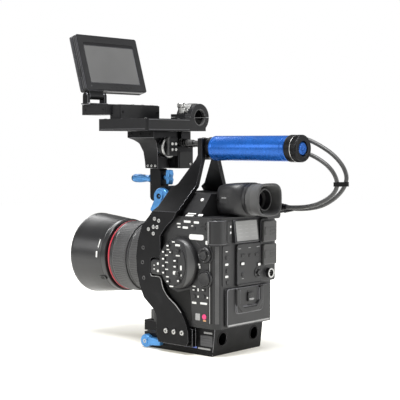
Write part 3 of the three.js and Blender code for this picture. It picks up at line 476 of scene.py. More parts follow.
def softened(points: Sequence[Sequence[float]], radius: float | Sequence[float], steps: int = 4,
        closed: bool = True) -> Floats:
    """A corner-cut polygon or profile: each corner becomes a short curve that touches both of its sides.

    With unit vectors b and a towards the corners before and after, and reach r / tan(half the angle between
    them), the curve is (1-t)^2 (p + reach b) + 2t(1-t) p + t^2 (p + reach a).

    Args:
        points: the corners, in order.
        radius: one radius for all the corners, or one for each.
        steps: how many steps each curve takes.
        closed: whether the last corner joins the first.

    Returns:
        The points of the softened outline.
    """
    p = np.asarray(points, float)
    before, after = np.roll(p, 1, 0) - p, np.roll(p, -1, 0) - p
    long_b = np.linalg.norm(before, axis=1, keepdims=True)
    long_a = np.linalg.norm(after, axis=1, keepdims=True)
    b, a = before / long_b, after / long_a
    half = np.arccos(np.clip((a * b).sum(1), -0.9999, 0.9999)) / 2
    want = np.broadcast_to(np.asarray(radius, float), len(p)) / np.tan(half)
    reach = np.minimum(want, 0.48 * np.minimum(long_b, long_a)[:, 0])
    if not closed:
        reach[[0, -1]] = 0
    reach = np.maximum(reach, 1e-4)[:, None, None]
    t = np.linspace(0, 1, steps + 1)[None, :, None]
    p, a, b = p[:, None], a[:, None], b[:, None]
    curve = (1 - t) ** 2 * (p + reach * b) + 2 * t * (1 - t) * p + t ** 2 * (p + reach * a)
    if closed:
        return curve.reshape(-1, p.shape[-1])
    return np.vstack([p[0], curve[1:-1].reshape(-1, p.shape[-1]), p[-1]])


def rectangle(width: float, height: float, radius: float = 0.0, steps: int = 4,
        centre: tuple[float, float] = (0.0, 0.0)) -> Floats:
    """A rectangle's outline about a centre, with round corners."""
    u, v = width / 2, height / 2
    corners = np.array([[-u, -v], [u, -v], [u, v], [-u, v]]) + np.array(centre)
    return softened(corners, radius, steps) if radius else corners


def between(u: tuple[float, float], v: tuple[float, float], radius: float = 0.0, steps: int = 4) -> Floats:
    """A rectangle's outline between two values along and two values up."""
    return rectangle(u[1] - u[0], v[1] - v[0], radius, steps, ((u[0] + u[1]) / 2, (v[0] + v[1]) / 2))


def ellipse(half_width: float, half_height: float | None = None, count: int = 48,
        centre: tuple[float, float] = (0.0, 0.0)) -> Floats:
    """An ellipse's outline, (w cos t, h sin t); a circle when only one half size is given."""
    t = np.linspace(0, 2 * math.pi, count, endpoint=False)
    tall = half_width if half_height is None else half_height
    return np.stack([half_width * np.cos(t), tall * np.sin(t)], 1) + np.array(centre)


def offset(outline: Floats, inset: float) -> Floats:
    """A closed outline moved inwards: each corner goes along its mitre by inset / cos(half the turn)."""
    ahead = np.roll(outline, -1, 0) - outline
    ahead /= np.maximum(np.linalg.norm(ahead, axis=1, keepdims=True), 1e-9)
    behind = np.roll(ahead, 1, 0)
    area = (outline[:, 0] * np.roll(outline[:, 1], -1) - np.roll(outline[:, 0], -1) * outline[:, 1]).sum()
    side = 1.0 if area > 0 else -1.0
    inward = lambda d: np.stack([-d[:, 1], d[:, 0]], 1) * side
    mitre = inward(ahead) + inward(behind)
    mitre /= np.maximum(np.linalg.norm(mitre, axis=1, keepdims=True), 1e-9)
    stretch = 1 / np.maximum((mitre * inward(ahead)).sum(1, keepdims=True), 0.5)
    return outline + mitre * inset * stretch


def grid_faces(rows: int, columns: int, close_rows: bool, close_columns: bool) -> Floats:
    """The four corners of each face of a grid of points, numbered row by row, closed on itself either way."""
    r = np.arange(rows if close_rows else rows - 1)
    c = np.arange(columns if close_columns else columns - 1)
    r, c = np.meshgrid(r, c, indexing="ij")
    r1, c1 = (r + 1) % rows, (c + 1) % columns
    return np.stack([r * columns + c, r * columns + c1, r1 * columns + c1, r1 * columns + c], -1).reshape(-1,
        4)


def solid_piece(name: str, points: Floats, faces: list, sharp: float = 40.0) -> bpy.types.Object:
    """A mesh piece from points in metres, with doubled points merged and its faces turned outwards.

    Args:
        name: the piece's name.
        points: the vertices.
        faces: each face's vertex numbers.
        sharp: the angle in degrees past which an edge stays crisp.

    Returns:
        The new object, at the origin.
    """
    mesh = bpy.data.meshes.new(name)
    mesh.from_pydata(np.asarray(points).reshape(-1, 3).tolist(), [], faces)
    work = bmesh.new()
    work.from_mesh(mesh)
    bmesh.ops.remove_doubles(work, verts=work.verts, dist=2e-6)
    bmesh.ops.recalc_face_normals(work, faces=work.faces)
    work.to_mesh(mesh)
    work.free()
    mesh.polygons.foreach_set("use_smooth", np.ones(len(mesh.polygons), bool))
    mesh.set_sharp_from_angle(angle=math.radians(sharp))
    piece = bpy.data.objects.new(name, mesh)
    bpy.context.scene.collection.objects.link(piece)
    return piece


def weigh_normals(piece: bpy.types.Object) -> bpy.types.Object:
    """Keeps broad faces flat beside rounded edges by weighting the normals by face area."""
    weighted = piece.modifiers.new("flat_faces", "WEIGHTED_NORMAL")
    weighted.keep_sharp = True
    return piece


def mark_edge_highlight_faces(piece: bpy.types.Object, rows: range, around: int) -> bpy.types.Object:
    """Gives the faces between some rows of a skin, counted from its first row, to the paler edge finish, a
    painted highlight.
    """
    index = np.zeros(len(piece.data.polygons), np.int32)
    index[rows.start * around:rows.stop * around] = EDGE_HIGHLIGHT
    piece.data.polygons.foreach_set("material_index", index)
    return piece


def slab(name: str, plane: WorkPlane, outline: Floats, low: float, high: float, edge: float = 0.4,
        steps: int = 3, under: float = 0.0) -> bpy.types.Object:
    """An outline carried out of a plane, with rounded edges.

    Ring k of the top edge is the outline moved inwards by edge (1 - cos a) at height high - edge (1 - sin a),
    with a going from 0 to a right angle.

    Args:
        name: the piece's name.
        plane: the plane that it stands on.
        outline: the closed outline, in millimetres.
        low: where it starts, out of the plane.
        high: where it ends.
        edge: the radius of the top edge.
        steps: how many steps the edge takes.
        under: the radius of the bottom edge.

    Returns:
        The piece.
    """
    a = np.linspace(0, math.pi / 2, steps + 1)
    rings = [(edge * (1 - math.cos(t)), high - edge * (1 - math.sin(t))) for t in a]
    if under:
        rings = [(under * (1 - math.cos(t)), low + under * (1 - math.sin(t))) for t in a[::-1]] + rings
    else:
        rings = [(0.0, low)] + rings
    points = np.stack([np.column_stack([offset(outline, inset), np.full(len(outline), height)]) for inset,
        height in rings])
    count, around = points.shape[:2]
    faces = grid_faces(count, around, False, True).tolist()
    faces += [list(range(around)), list(range((count - 1) * around, count * around))]
    piece = mark_edge_highlight_faces(solid_piece(name, plane.lift(points), faces), range(count - 1 - steps, count - 1),
        around)
    return weigh_normals(piece)


def frame_slab(name: str, plane: WorkPlane, outer: Floats, wall: float, low: float, high: float,
        edge: float = 0.3) -> bpy.types.Object:
    """A frame: an outline and the same outline moved inwards by `wall`, joined all round with rounded lips.

    The section is the closed loop of (inset, height) pairs, softened at its two top corners.
    """
    section = softened([[0, low], [0, high], [wall, high], [wall, low]], [0.01, edge, edge, 0.01], 3)
    points = np.stack([np.column_stack([offset(outer, inset), np.full(len(outer), height)]) for inset,
        height in section])
    faces = grid_faces(len(section), len(outer), True, True).tolist()
    return weigh_normals(solid_piece(name, plane.lift(points), faces))


Relief = Callable[[Floats, Floats], Floats]


def turned(name: str, plane: WorkPlane, profile: Floats, segments: int = 72, relief: Relief | None = None,
        closed: bool = False, sharp: float = 40.0) -> bpy.types.Object:
    """A profile turned about a plane's `out` through its zero: (r cos t, r sin t, h).

    Args:
        name: the piece's name.
        plane: the plane whose zero lies on the axis.
        profile: pairs of radius and height, from the axis to the axis, or a closed loop.
        segments: how many steps go round.
        relief: a function of the turn and the height that gives what is added to the radius.
        closed: whether the profile closes on itself.
        sharp: the angle past which an edge stays crisp.

    Returns:
        The piece.
    """
    t = np.linspace(0, 2 * math.pi, segments, endpoint=False)[None, :]
    r, h = (np.asarray(profile, float)[:, i][:, None] for i in (0, 1))
    wide = r + (relief(t, h) if relief else 0.0) * (r > 1e-6)
    points = np.stack([wide * np.cos(t), wide * np.sin(t), h + 0 * t], -1)
    faces = grid_faces(len(profile), segments, closed, True).tolist()
    return solid_piece(name, plane.lift(points), faces, sharp)


def lofted(name: str, sections: Floats, closed: bool = False, sharp: float = 40.0) -> bpy.types.Object:
    """A skin through rings of points in metres, with its end rings filled unless it closes on itself."""
    count, around = sections.shape[:2]
    faces = grid_faces(count, around, closed, True).tolist()
    if not closed:
        faces += [list(range(around)), list(range((count - 1) * around, count * around))]
    return solid_piece(name, sections, faces, sharp)


def superellipse(t: Floats, power: Floats) -> tuple[Floats, Floats]:
    """Unit superellipse at turn t: |cos t|^(2/p) and |sin t|^(2/p) with their signs."""
    c, s = np.cos(t), np.sin(t)
    return np.sign(c) * np.abs(c) ** (2 / power), np.sign(s) * np.abs(s) ** (2 / power)


def knurl(count: int, depth: float, low: float = -1e9, high: float = 1e9) -> Relief:
    """Straight flutes: depth times a squared cosine of count turns, between two heights."""
    return lambda t, h: -depth * np.cos(count * t / 2) ** 2 * ((h >= low) & (h <= high))


def disc_profile(radius: float, low: float, high: float, edge: float = 0.4) -> Floats:
    """A plain disc's profile with a rounded top edge."""
    return softened([[0, low], [radius, low], [radius, high], [0, high]], [0.01, 0.05, edge, 0.01], 4,
        closed=False)


def ring_profile(inner: float, outer: float, low: float, high: float, edge: float = 0.4) -> Floats:
    """A ring's closed section with rounded outer edges."""
    return softened([[inner, low], [outer, low], [outer, high], [inner, high]], [0.05, edge, edge, 0.05], 4)


def refined(node: str, edge: float = 0.6, steps: int = 2, angle: float = 32.0) -> bpy.types.Object:
    """A copy of a frame node with its loose triangles merged into whole faces and its edges rounded.

    Args:
        node: the frame node that it stands for.
        edge: how wide the rounding is, in millimetres.
        steps: how many steps the rounding takes.
        angle: the angle in degrees past which an edge is rounded.

    Returns:
        The copy, which replaces the node.
    """
    source = bpy.data.objects[node]
    mesh = source.data.copy()
    mesh.name = f"{node}_shape"
    work = bmesh.new()
    work.from_mesh(mesh)
    bmesh.ops.remove_doubles(work, verts=work.verts, dist=1e-6)
    bmesh.ops.dissolve_limit(work, angle_limit=math.radians(1.0), verts=work.verts, edges=work.edges)
    work.to_mesh(mesh)
    work.free()
    mesh.materials.clear()
    mesh.polygons.foreach_set("use_smooth", np.ones(len(mesh.polygons), bool))
    mesh.set_sharp_from_angle(angle=math.radians(angle + 6))
    piece = bpy.data.objects.new(f"{node}_finished", mesh)
    bpy.context.scene.collection.objects.link(piece)
    rounding = piece.modifiers.new("rounded_edges", "BEVEL")
    rounding.width = edge * MM
    rounding.segments = steps
    rounding.limit_method = "ANGLE"
    rounding.angle_limit = math.radians(angle)
    rounding.use_clamp_overlap = True
    # the rounded faces take the paler edge finish, a painted highlight
    rounding.material = EDGE_HIGHLIGHT
    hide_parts(node)
    return weigh_normals(piece)


def smooth_route(points: Sequence[Sequence[float]], count: int) -> Floats:
    """A centripetal Catmull-Rom curve through points, at `count` places spread evenly along its length.

    Between points b and c, with a before and d after and knots spaced by the square root of each distance, it
    blends the three straight lines a-b, b-c and c-d twice, each time by how far the knot value has gone.

    Args:
        points: the points that it passes through.
        count: how many places are returned.

    Returns:
        The places, as an array of three columns.
    """
    p = np.asarray(points, float)
    p = np.vstack([2 * p[0] - p[1], p, 2 * p[-1] - p[-2]])
    a, b, c, d = p[:-3, None], p[1:-2, None], p[2:-1, None], p[3:, None]
    gap = lambda u, v: np.sqrt(np.linalg.norm(v - u, axis=-1, keepdims=True))
    t0 = np.zeros_like(gap(a, b))
    t1 = t0 + gap(a, b)
    t2 = t1 + gap(b, c)
    t3 = t2 + gap(c, d)
    t = t1 + (t2 - t1) * np.linspace(0, 1, 24, endpoint=False)[None, :, None]
    mix = lambda u, v, s, e: ((e - t) * u + (t - s) * v) / (e - s)
    ab, bc, cd = mix(a, b, t0, t1), mix(b, c, t1, t2), mix(c, d, t2, t3)
    fine = np.vstack([mix(mix(ab, bc, t0, t2), mix(bc, cd, t1, t3), t1, t2).reshape(-1, 3), p[-2]])
    run = np.concatenate([[0], np.cumsum(np.linalg.norm(np.diff(fine, axis=0), axis=1))])
    even = np.linspace(0, run[-1], count)
    return np.stack([np.interp(even, run, fine[:, i]) for i in range(3)], 1)


def swept(name: str, route: Floats, outline: Floats, across: Sequence[float] = (1, 0, 0)) -> bpy.types.Object:
    """An outline carried along a route in metres: point = route + u side + v rise.

    Side is `across` made square to the route's direction, and rise is direction x side, so the section never
    twists on a route that is never parallel to `across`.
    """
    direction = np.gradient(route, axis=0)
    direction /= np.linalg.norm(direction, axis=1, keepdims=True)
    side = np.array(across, float) - direction * (direction @ np.array(across, float))[:, None]
    side /= np.linalg.norm(side, axis=1, keepdims=True)
    rise = np.cross(direction, side)
    flat = np.asarray(outline, float) * MM
    points = route[:, None] + flat[None, :, :1] * side[:, None] + flat[None, :, 1:] * rise[:, None]
    return lofted(name, points)


# ---------------------------------------------------------------- sub-assemblies


def low_high(node: str) -> tuple[Floats, Floats]:
    """A frame node's lowest and highest corners, in millimetres."""
    low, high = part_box(node)
    return np.array(low) / MM, np.array(high) / MM


@dataclass
class Assembly:
    """One sub-assembly: it makes its pieces, dresses them and counts them."""

    body: str = "root"
    made: int = field(default=0, init=False)

    def fit(self, piece: bpy.types.Object, finish: Finish, body: str | None = None,
            stands_for: Sequence[str] = ()) -> bpy.types.Object:
        """Gives a piece its finish and its body, and reports it.

        Args:
            piece: the piece.
            finish: its finish.
            body: the frame body that it moves with, or None for the sub-assembly's own.
            stands_for: the frame nodes that it replaces.

        Returns:
            The piece.
        """
        piece.data.materials.clear()
        piece.data.materials.append(finish.material())
        piece.data.materials.append(finish.edge_highlight_material())
        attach(piece, body or self.body)
        if stands_for:
            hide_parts(*stands_for)
        self.made += 1
        LOG.info("%s: %s in %s", type(self).__name__, piece.name, finish.name)
        return piece

    def refine(self, node: str, finish: Finish, edge: float = 0.6, steps: int = 2) -> bpy.types.Object:
        """Replaces a frame node with its rounded copy, on the node's own body."""
        return self.fit(refined(node, edge, steps), finish, body_of(bpy.data.objects[node])[0])

    def keep(self, finish: Finish, *nodes: str) -> None:
        """Leaves frame nodes as they are and gives them a finish."""
        for node in nodes:
            bpy.data.objects[node].data.materials.clear()
            bpy.data.objects[node].data.materials.append(finish.material())
            LOG.info("%s: kept %s in %s", type(self).__name__, node, finish.name)

    def screw(self, name: str, plane: WorkPlane, radius: float, rise: float, finish: Finish = SCREW_STEEL,
            body: str | None = None, stands_for: Sequence[str] = (), sink: float = 0.0) -> bpy.types.Object:
        """A socket head screw: a chamfered head with a six-sided socket sunk into it.

        The socket is the same turned surface, with its radius shortened to a hexagon's:
        r cos 30 / cos(t mod 60 - 30).

        Args:
            name: the piece's name.
            plane: the plane whose zero is the screw's middle.
            radius: the head's radius.
            rise: how far the head stands out.
            finish: its finish.
            body: the frame body that it moves with.
            stands_for: the frame nodes that it replaces.
            sink: how far below the plane the head starts.

        Returns:
            The screw.
        """
        socket, floor = radius * 0.5, rise - min(radius * 0.7, rise + sink - 0.3)
        profile = np.array([[0, -sink], [radius, -sink], [radius, rise - 0.35], [radius - 0.12, rise - 0.12],
            [radius - 0.35, rise], [socket + 0.15, rise], [socket, rise - 0.12], [socket, floor],
            [0, floor - 0.15]])
        hexagon = lambda t, h: np.where((np.arange(len(h)) >= 6)[:, None],
            socket * (math.cos(math.pi / 6) / np.cos(t % (math.pi / 3) - math.pi / 6) - 1), 0.0)
        return self.fit(turned(name, plane, profile, 36, hexagon, sharp=30), finish, body, stands_for)


@dataclass
class Studio:
    """The pale floor, the soft lights, and the camera, which looks at the rig from behind its left side."""

    azimuth: float = 130.786
    elevation: float = 2.906
    camera_place: tuple[float, float, float] = (1.04299, 0.89407, 0.25108)
    lens: float = 100.675
    floor_radius: float = 3.2
    fill: float = 0.27
    lights: tuple = (("overhead", (0.35, 0.1, 1.4), 0.6, 32.0), ("left", (1.6, -1.0, 0.8), 0.7, 6.0),
        ("rear", (-0.9, 1.5, 0.6), 0.7, 11.0), ("front", (-0.5, -1.6, 1.1), 0.9, 14.0))

    def build(self) -> None:
        """Makes the floor, the lights and the camera."""
        self.set_camera()
        self.lay_floor()
        self.set_lights()

    def set_camera(self) -> None:
        """A long lens from behind the rig's left shoulder, a little above its middle."""
        data = bpy.data.cameras.new("studio_camera")
        data.sensor_width = 36.0
        data.lens = self.lens
        camera = bpy.data.objects.new("studio_camera", data)
        camera.location = self.camera_place
        camera.rotation_euler = (math.radians(90 - self.elevation), 0, math.radians(self.azimuth))
        bpy.context.scene.collection.objects.link(camera)
        bpy.context.scene.camera = camera

    def lay_floor(self) -> None:
        """A round floor, r from 0 to its radius and t all round, in warm white, glowing so that it stays
        white, with a painted contact shadow where its glow darkens near the rig's foot.
        """
        profile = np.array([[0, 0], [0.5, 0], [1.5, 0], [self.floor_radius, 0]]) / MM
        t = np.linspace(0, 2 * math.pi, 64, endpoint=False)[None, :]
        r = profile[:, 0][:, None]
        points = np.stack([r * np.cos(t), r * np.sin(t), 0 * r * t - 0.2], -1) * MM
        faces = grid_faces(len(profile), 64, False, True).tolist()
        floor = solid_piece("studio_floor", points, faces)
        graph = Graph("studio_floor_paint")
        graph.link(graph.ramp(graph.noise(3.0, 2.0), [(0.3, (0.60, 0.59, 0.56)), (0.7, (0.62, 0.62, 0.60))]),
            "Base Color")
        # painted shadow: the glow darkens towards a point just left of the rig's foot, in place of its
        # contact shadow
        painted_shadow = graph.falloff((0.055, -0.06, 0.0), 0.3)
        graph.link(graph.ramp(painted_shadow, [(0.0, (1.0, 1.0, 0.985)), (0.25, (0.9, 0.89, 0.85)),
            (0.7, (0.4, 0.38, 0.32))]), "Emission Color")
        graph.set(Roughness=0.7, Emission_Strength=0.82)
        floor.data.materials.append(graph.material)

    def set_lights(self) -> None:
        """A white room, dimmer on the object than behind it, and soft lights above, behind and beside."""
        world = bpy.data.worlds.new("studio_room")
        world.use_nodes = True
        nodes, links = world.node_tree.nodes, world.node_tree.links
        fill = nodes["Background"]
        fill.inputs["Color"].default_value = (1.0, 1.0, 1.0, 1)
        fill.inputs["Strength"].default_value = self.fill
        backdrop = nodes.new("ShaderNodeBackground")
        backdrop.inputs["Color"].default_value = (1.0, 1.0, 1.0, 1)
        path, mix = nodes.new("ShaderNodeLightPath"), nodes.new("ShaderNodeMixShader")
        links.new(path.outputs["Is Camera Ray"], mix.inputs["Fac"])
        links.new(fill.outputs["Background"], mix.inputs[1])
        links.new(backdrop.outputs["Background"], mix.inputs[2])
        links.new(mix.outputs["Shader"], nodes["World Output"].inputs["Surface"])
        bpy.context.scene.world = world
        for name, place, size, power in self.lights:
            data = bpy.data.lights.new(f"studio_{name}", "AREA")
            data.size = size
            data.energy = power
            lamp = bpy.data.objects.new(f"studio_{name}", data)
            lamp.location = place
            aim = np.array([0.0, -0.02, 0.15]) - np.array(place)
            lamp.rotation_euler = (math.acos(-aim[2] / np.linalg.norm(aim)), 0,
                math.atan2(aim[1], aim[0]) - math.pi / 2)
            bpy.context.scene.collection.objects.link(lamp)
        bpy.context.scene.view_settings.view_transform = "Standard"


@dataclass
class Cables(Assembly):
    """The two monitor cables, with their plugs and the tie that holds them together."""

    radius: float = 2.5
    sides: int = 20
    outer_route: tuple = ((-35, -33.7, 250), (-34.8, -24, 250.4), (-34.5, 0, 251.5), (-34.3, 30, 253),
        (-34, 60, 254.6), (-34, 90, 256), (-34, 112, 256.6), (-34, 130, 255.6), (-34.5, 142, 251.3),
        (-34.8, 153, 246), (-35, 164.6, 239.2), (-35.6, 174, 231.2), (-36.3, 181, 222), (-37, 184, 212),
        (-38, 181, 202), (-39, 173.5, 193), (-40.2, 162.3, 184.9), (-41.5, 147.6, 178), (-43, 128.4, 173.8),
        (-44, 112, 172.5), (-44, 103.9, 172.5))
    inner_route: tuple = ((-22.5, -33.7, 252), (-22.6, -24, 252), (-23.4, 0, 251.8), (-24, 30, 251),
        (-24, 60, 249.6), (-24, 90, 247.6), (-24, 112, 245), (-24, 130, 241.4), (-24, 143, 237.6),
        (-24.2, 155, 232.4), (-24.8, 166.5, 225), (-26, 174, 216.4), (-27.4, 177.2, 207.4),
        (-29, 175.6, 199.3), (-30.2, 169.6, 192), (-30.8, 160, 185.6), (-31.2, 147, 180), (-31.5, 132, 176.6),
        (-31.5, 116, 175.2), (-31.5, 103.9, 175))
    tie_height: float = 204.0
    roll_start: float = -34.0
    roll_end: float = 45.0

    def build(self) -> None:
        """Lays both cables, each with its plug, and ties them."""
        tie = self.tie()
        for name, points, extra in (("outer", self.outer_route, [tie]), ("inner", self.inner_route, [])):
            plug = self.plug(name)
            route = smooth_route(points, 150) * MM
            cable = swept(f"monitor_cable_{name}", route, ellipse(self.radius, count=self.sides))
            cable.data.materials.append(CABLE_JACKET.material())
            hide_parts(f"cable_{name}")
            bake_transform(cable, "monitor_mount", "root", start=(0, self.roll_start * MM, 0.25),
                end=(0, self.roll_end * MM, 0.25))

    def plug(self, name: str) -> bpy.types.Object:
        """A round locking plug: a fluted sleeve, a groove, and a ribbed boot down to the cable."""
        low, high = low_high(f"plug_{name}")
        plane = rear_plane(0).moved(*((low + high) / 2)[[0, 2]])
        start, end = low[1], high[1]
        boot = np.linspace(0, 1, 25)
        ribs = np.column_stack([5.1 - 2.0 * boot + 0.35 * np.cos(boot * 8 * math.pi) * (1 - boot),
            start + 19.2 + boot * (end - start - 19.6)])
        profile = np.vstack([[[0, start], [4.9, start], [4.9, start + 6.2], [5.3, start + 6.5],
            [5.6, start + 7.0], [5.6, start + 14.4], [5.3, start + 15], [4.8, start + 15.4],
            [4.8, start + 17.6], [5.3, start + 18.2]], ribs, [[0, end]]])
        flutes = knurl(28, 0.3, start + 6.8, start + 14.6)
        return self.fit(turned(f"monitor_plug_{name}", plane, profile, 112, flutes), BLACK_METAL,
            stands_for=[f"plug_{name}"])

    def tie(self) -> bpy.types.Object:
        """A flat strap round both cables where they hang side by side."""
        sides = []
        for points in (self.outer_route, self.inner_route):
            route = smooth_route(points, 400)
            tail = route[(route[:, 1] > 165) & (route[:, 2] > 195)]
            sides.append(tail[np.argmin(np.abs(tail[:, 2] - self.tie_height))][:2])
        middle, reach = (sides[0] + sides[1]) / 2, sides[1] - sides[0]
        long = float(np.linalg.norm(reach))
        plane = top_plane(self.tie_height).moved(*middle).turned(math.degrees(math.atan2(reach[1], reach[0])))
        wide = 2 * self.radius + 2.6
        outline = rectangle(long + wide, wide, wide / 2, 10)
        strap = frame_slab("cable_tie", plane, outline, 1.15, -2.5, 2.5, 0.4)
        return self.fit(strap, BLACK_METAL)


def lever_outline(radius: float, reach: float, width: float, steps: int = 26) -> Floats:
    """A clamp lever's plan: a disc about zero, and a tail of a given reach and width that tapers along +a."""
    meet = math.asin(width / 2 / radius)
    t = np.linspace(meet, 2 * math.pi - meet, steps)
    disc = np.stack([radius * np.cos(t), radius * np.sin(t)], 1)
    tip = width * 0.36
    tail = softened([disc[-1], [reach, -tip], [reach, tip], disc[0]], [0, 2.2, 2.2, 0], 4, closed=False)
    return np.vstack([disc, tail[1:-1]])


@dataclass
class Baseplate(Assembly):
    """The rod baseplate: its block, bore collars, clamp lever, locating plate, screws and side marks."""

    half_width: float = 46.0
    bore_places: tuple = (-30.0, 30.0)
    bore_height: float = 19.6
    rear_lean: float = math.atan(4 / 33.4)

    def build(self) -> None:
        """Makes the block, then what is fastened to it."""
        self.refine("base_block", BLACK_METAL, 0.7)
        self.refine("locating_plate", PALE_PLASTIC_AND_HIGHLIGHT, 0.5)
        self.bore_collars()
        self.clamp_lever()
        self.side_marks()
        self.fixings()

    def bore_collars(self) -> None:
        """A thin collar round each rod bore, upright at the front and leaning with the rear face."""
        low, high = low_high("base_block")
        lean = self.rear_lean
        slope_y = high[1] - (33.4 - self.bore_height) * math.tan(lean)
        rear = WorkPlane((0, slope_y, self.bore_height), (1, 0, 0), (0, math.sin(lean), math.cos(lean)),
            (0, math.cos(lean), -math.sin(lean)))
        front = front_plane(low[1]).moved(0, self.bore_height)
        for face, plane in (("rear", rear), ("front", front)):
            for side, x in zip(("right", "left"), self.bore_places):
                ring = turned(f"bore_collar_{face}_{side}", plane.moved(x, 0),
                    ring_profile(7.7, 9.2, -0.4, 0.5), 72, closed=True)
                self.fit(ring, BLACK_METAL)

    def clamp_lever(self) -> None:
        """The blue lever that closes the front rod clamp, with its hub and its screw."""
        low, high = low_high("base_lever")
        plane = left_plane(low[0]).moved(-49, 8.5)
        plan = lever_outline(8, 24.4, 10)
        self.fit(slab("base_lever_blade", plane, plan, 0.2, 6.8, 1.3, 4, 0.6), BLUE_LEVER, "base_clamp",
            ["base_lever"])
        self.fit(turned("base_lever_hub", plane, disc_profile(4.6, 6.4, high[0] - low[0] - 0.4, 0.6), 48),
            BLUE_LEVER, "base_clamp")
        self.screw("base_lever_screw", plane, 2.6, high[0] - low[0], body="base_clamp", sink=-6.6)

    def side_marks(self) -> None:
        """A raised rail, a ribbed plate and plain printed bars low on the left side."""
        side = left_plane(self.half_width)
        self.fit(slab("base_rail", side, between((-22, 54), (2.4, 5.0), 0.8), 0, 0.7, 0.3), BLACK_METAL)
        self.fit(slab("base_index_plate", side, between((35, 53.5), (11.5, 24.5), 1.2), 0, 0.6, 0.25),
            GREY_DARK)
        for i in range(4):
            z = 13.4 + 3.1 * i
            self.fit(slab(f"base_index_rib_{i + 1}", side, between((36.5, 52), (z, z + 1.3), 0.5), 0.4, 0.95,
                0.2), GREY_DARK)
        self.fit(slab("base_mark_upper", side, between((40, 53), (26.4, 28.6), 0.6), 0, 0.12, 0.05),
            GREY_PRINT_AND_HIGHLIGHT)
        self.fit(slab("base_mark_blue", side, between((9, 29), (7.6, 9.4), 0.6), 0, 0.12, 0.05), BLUE_PRINT)
        self.fit(slab("base_mark_lower", side, between((31, 50), (7.2, 9.2), 0.6), 0, 0.12, 0.05), GREY_PRINT_AND_HIGHLIGHT)

    def fixings(self) -> None:
        """The screws through both cage arms, two clamp screws in the front, and four in the top."""
        arm_face = low_high("cage_arm_left")[1][0]
        for i in range(3):
            low, high = low_high(f"arm_screw_{i + 1}")
            y, z = ((low + high) / 2)[1:]
            for side in Side:
                self.screw(f"arm_screw_{side.value}_{i + 1}", side.plane(arm_face).moved(y, z), 3.0, 1.2,
                    sink=5, stands_for=[f"arm_screw_{i + 1}"] if side is Side.LEFT else ())
        right = right_plane(-self.half_width)
        for i, y in enumerate((-44, 40)):
            self.screw(f"base_side_screw_{i + 1}", right.moved(y, 9), 3.4, 1.4)
        plate_top = low_high("locating_plate")[1][2]
        for i, x in enumerate((-36, 36)):
            self.screw(f"locating_screw_{i + 1}", top_plane(plate_top).moved(x, -45), 2.4, 1.2)
        under = under_plane(0.0)
        for i, (x, y) in enumerate(((-38, -48), (38, -48), (-38, 44), (38, 44))):
            pad = turned(f"foot_pad_{i + 1}", under.moved(x, y, -0.6), disc_profile(5, -0.4, 0.6, 0.3), 40)
            self.fit(pad, SOFT_RUBBER)


@dataclass
class Cage(Assembly):
    """The two curved arms and the bridge with its stub rod."""

    upper_holes: tuple = ((-28, 160), (-21, 158), (-24, 150), (-30, 150), (-38, 147), (-30, 142))
    belly_holes: tuple = ((-47, 124), (-48, 106), (-46, 87))
    edge_highlight_heights: tuple[float, float] = (40.0, 96.0)

    def build(self) -> None:
        """Makes the arms and the bridge, then the inserts in the arms' holes."""
        self.refine("cage_arm_left", BLACK_METAL, 0.9, 3)
        self.refine("cage_arm_right", BLACK_METAL, 0.9, 3)
        self.refine("cage_bridge", BLACK_METAL, 0.6)
        face = low_high("cage_arm_left")[1][0]
        inserts = (("insert", self.upper_holes, ring_profile(0.9, 2.3, -3.5, 0.35, 0.2), SCREW_STEEL),
            ("belly_insert", self.belly_holes, ring_profile(1.3, 2.5, -3.5, 0.3, 0.2), PALE_PLASTIC_AND_HIGHLIGHT))
        for side in Side:
            for name, holes, profile, finish in inserts:
                for i, (y, z) in enumerate(holes):
                    insert = turned(f"arm_{name}_{side.value}_{i + 1}", side.plane(face).moved(y, z), profile,
                        32, closed=True)
                    self.fit(insert, finish)
            self.edge_highlight_strip(side, side.sign * face)

    def edge_highlight_strip(self, side: Side, x: float) -> None:
        """A painted highlight along an arm's rear lower edge: a thin pale round line along the outline.

        The line follows the points of the arm's own outer face on its rear side, between two heights.

        Args:
            side: the arm's side.
            x: where the arm's outer face is.
        """
        mesh = bpy.data.objects[f"cage_arm_{side.value}"].data
        points = np.empty(len(mesh.vertices) * 3)
        mesh.vertices.foreach_get("co", points)
        points = np.unique(np.round(points.reshape(-1, 3) / MM, 2), axis=0)
        low, high = self.edge_highlight_heights
        outer = points[(np.abs(points[:, 0] - x) < 0.05) & (points[:, 2] > low) & (points[:, 2] < high)]
        outer = outer[np.argsort(outer[:, 2])]
        middle = np.array([outer[np.abs(outer[:, 2] - z) < 14, 1].mean() for z in outer[:, 2]])
        rear = outer[outer[:, 1] > middle + 2.0]
        rear[:, 0] -= math.copysign(0.25, x)
        rear[:, 1] -= 0.25
        strip = swept(f"arm_edge_{side.value}", smooth_route(rear, 70) * MM, ellipse(0.5, count=10))
        # pale strip: a painted highlight on the arm's edge
        self.fit(strip, GREY_PRINT_AND_HIGHLIGHT)


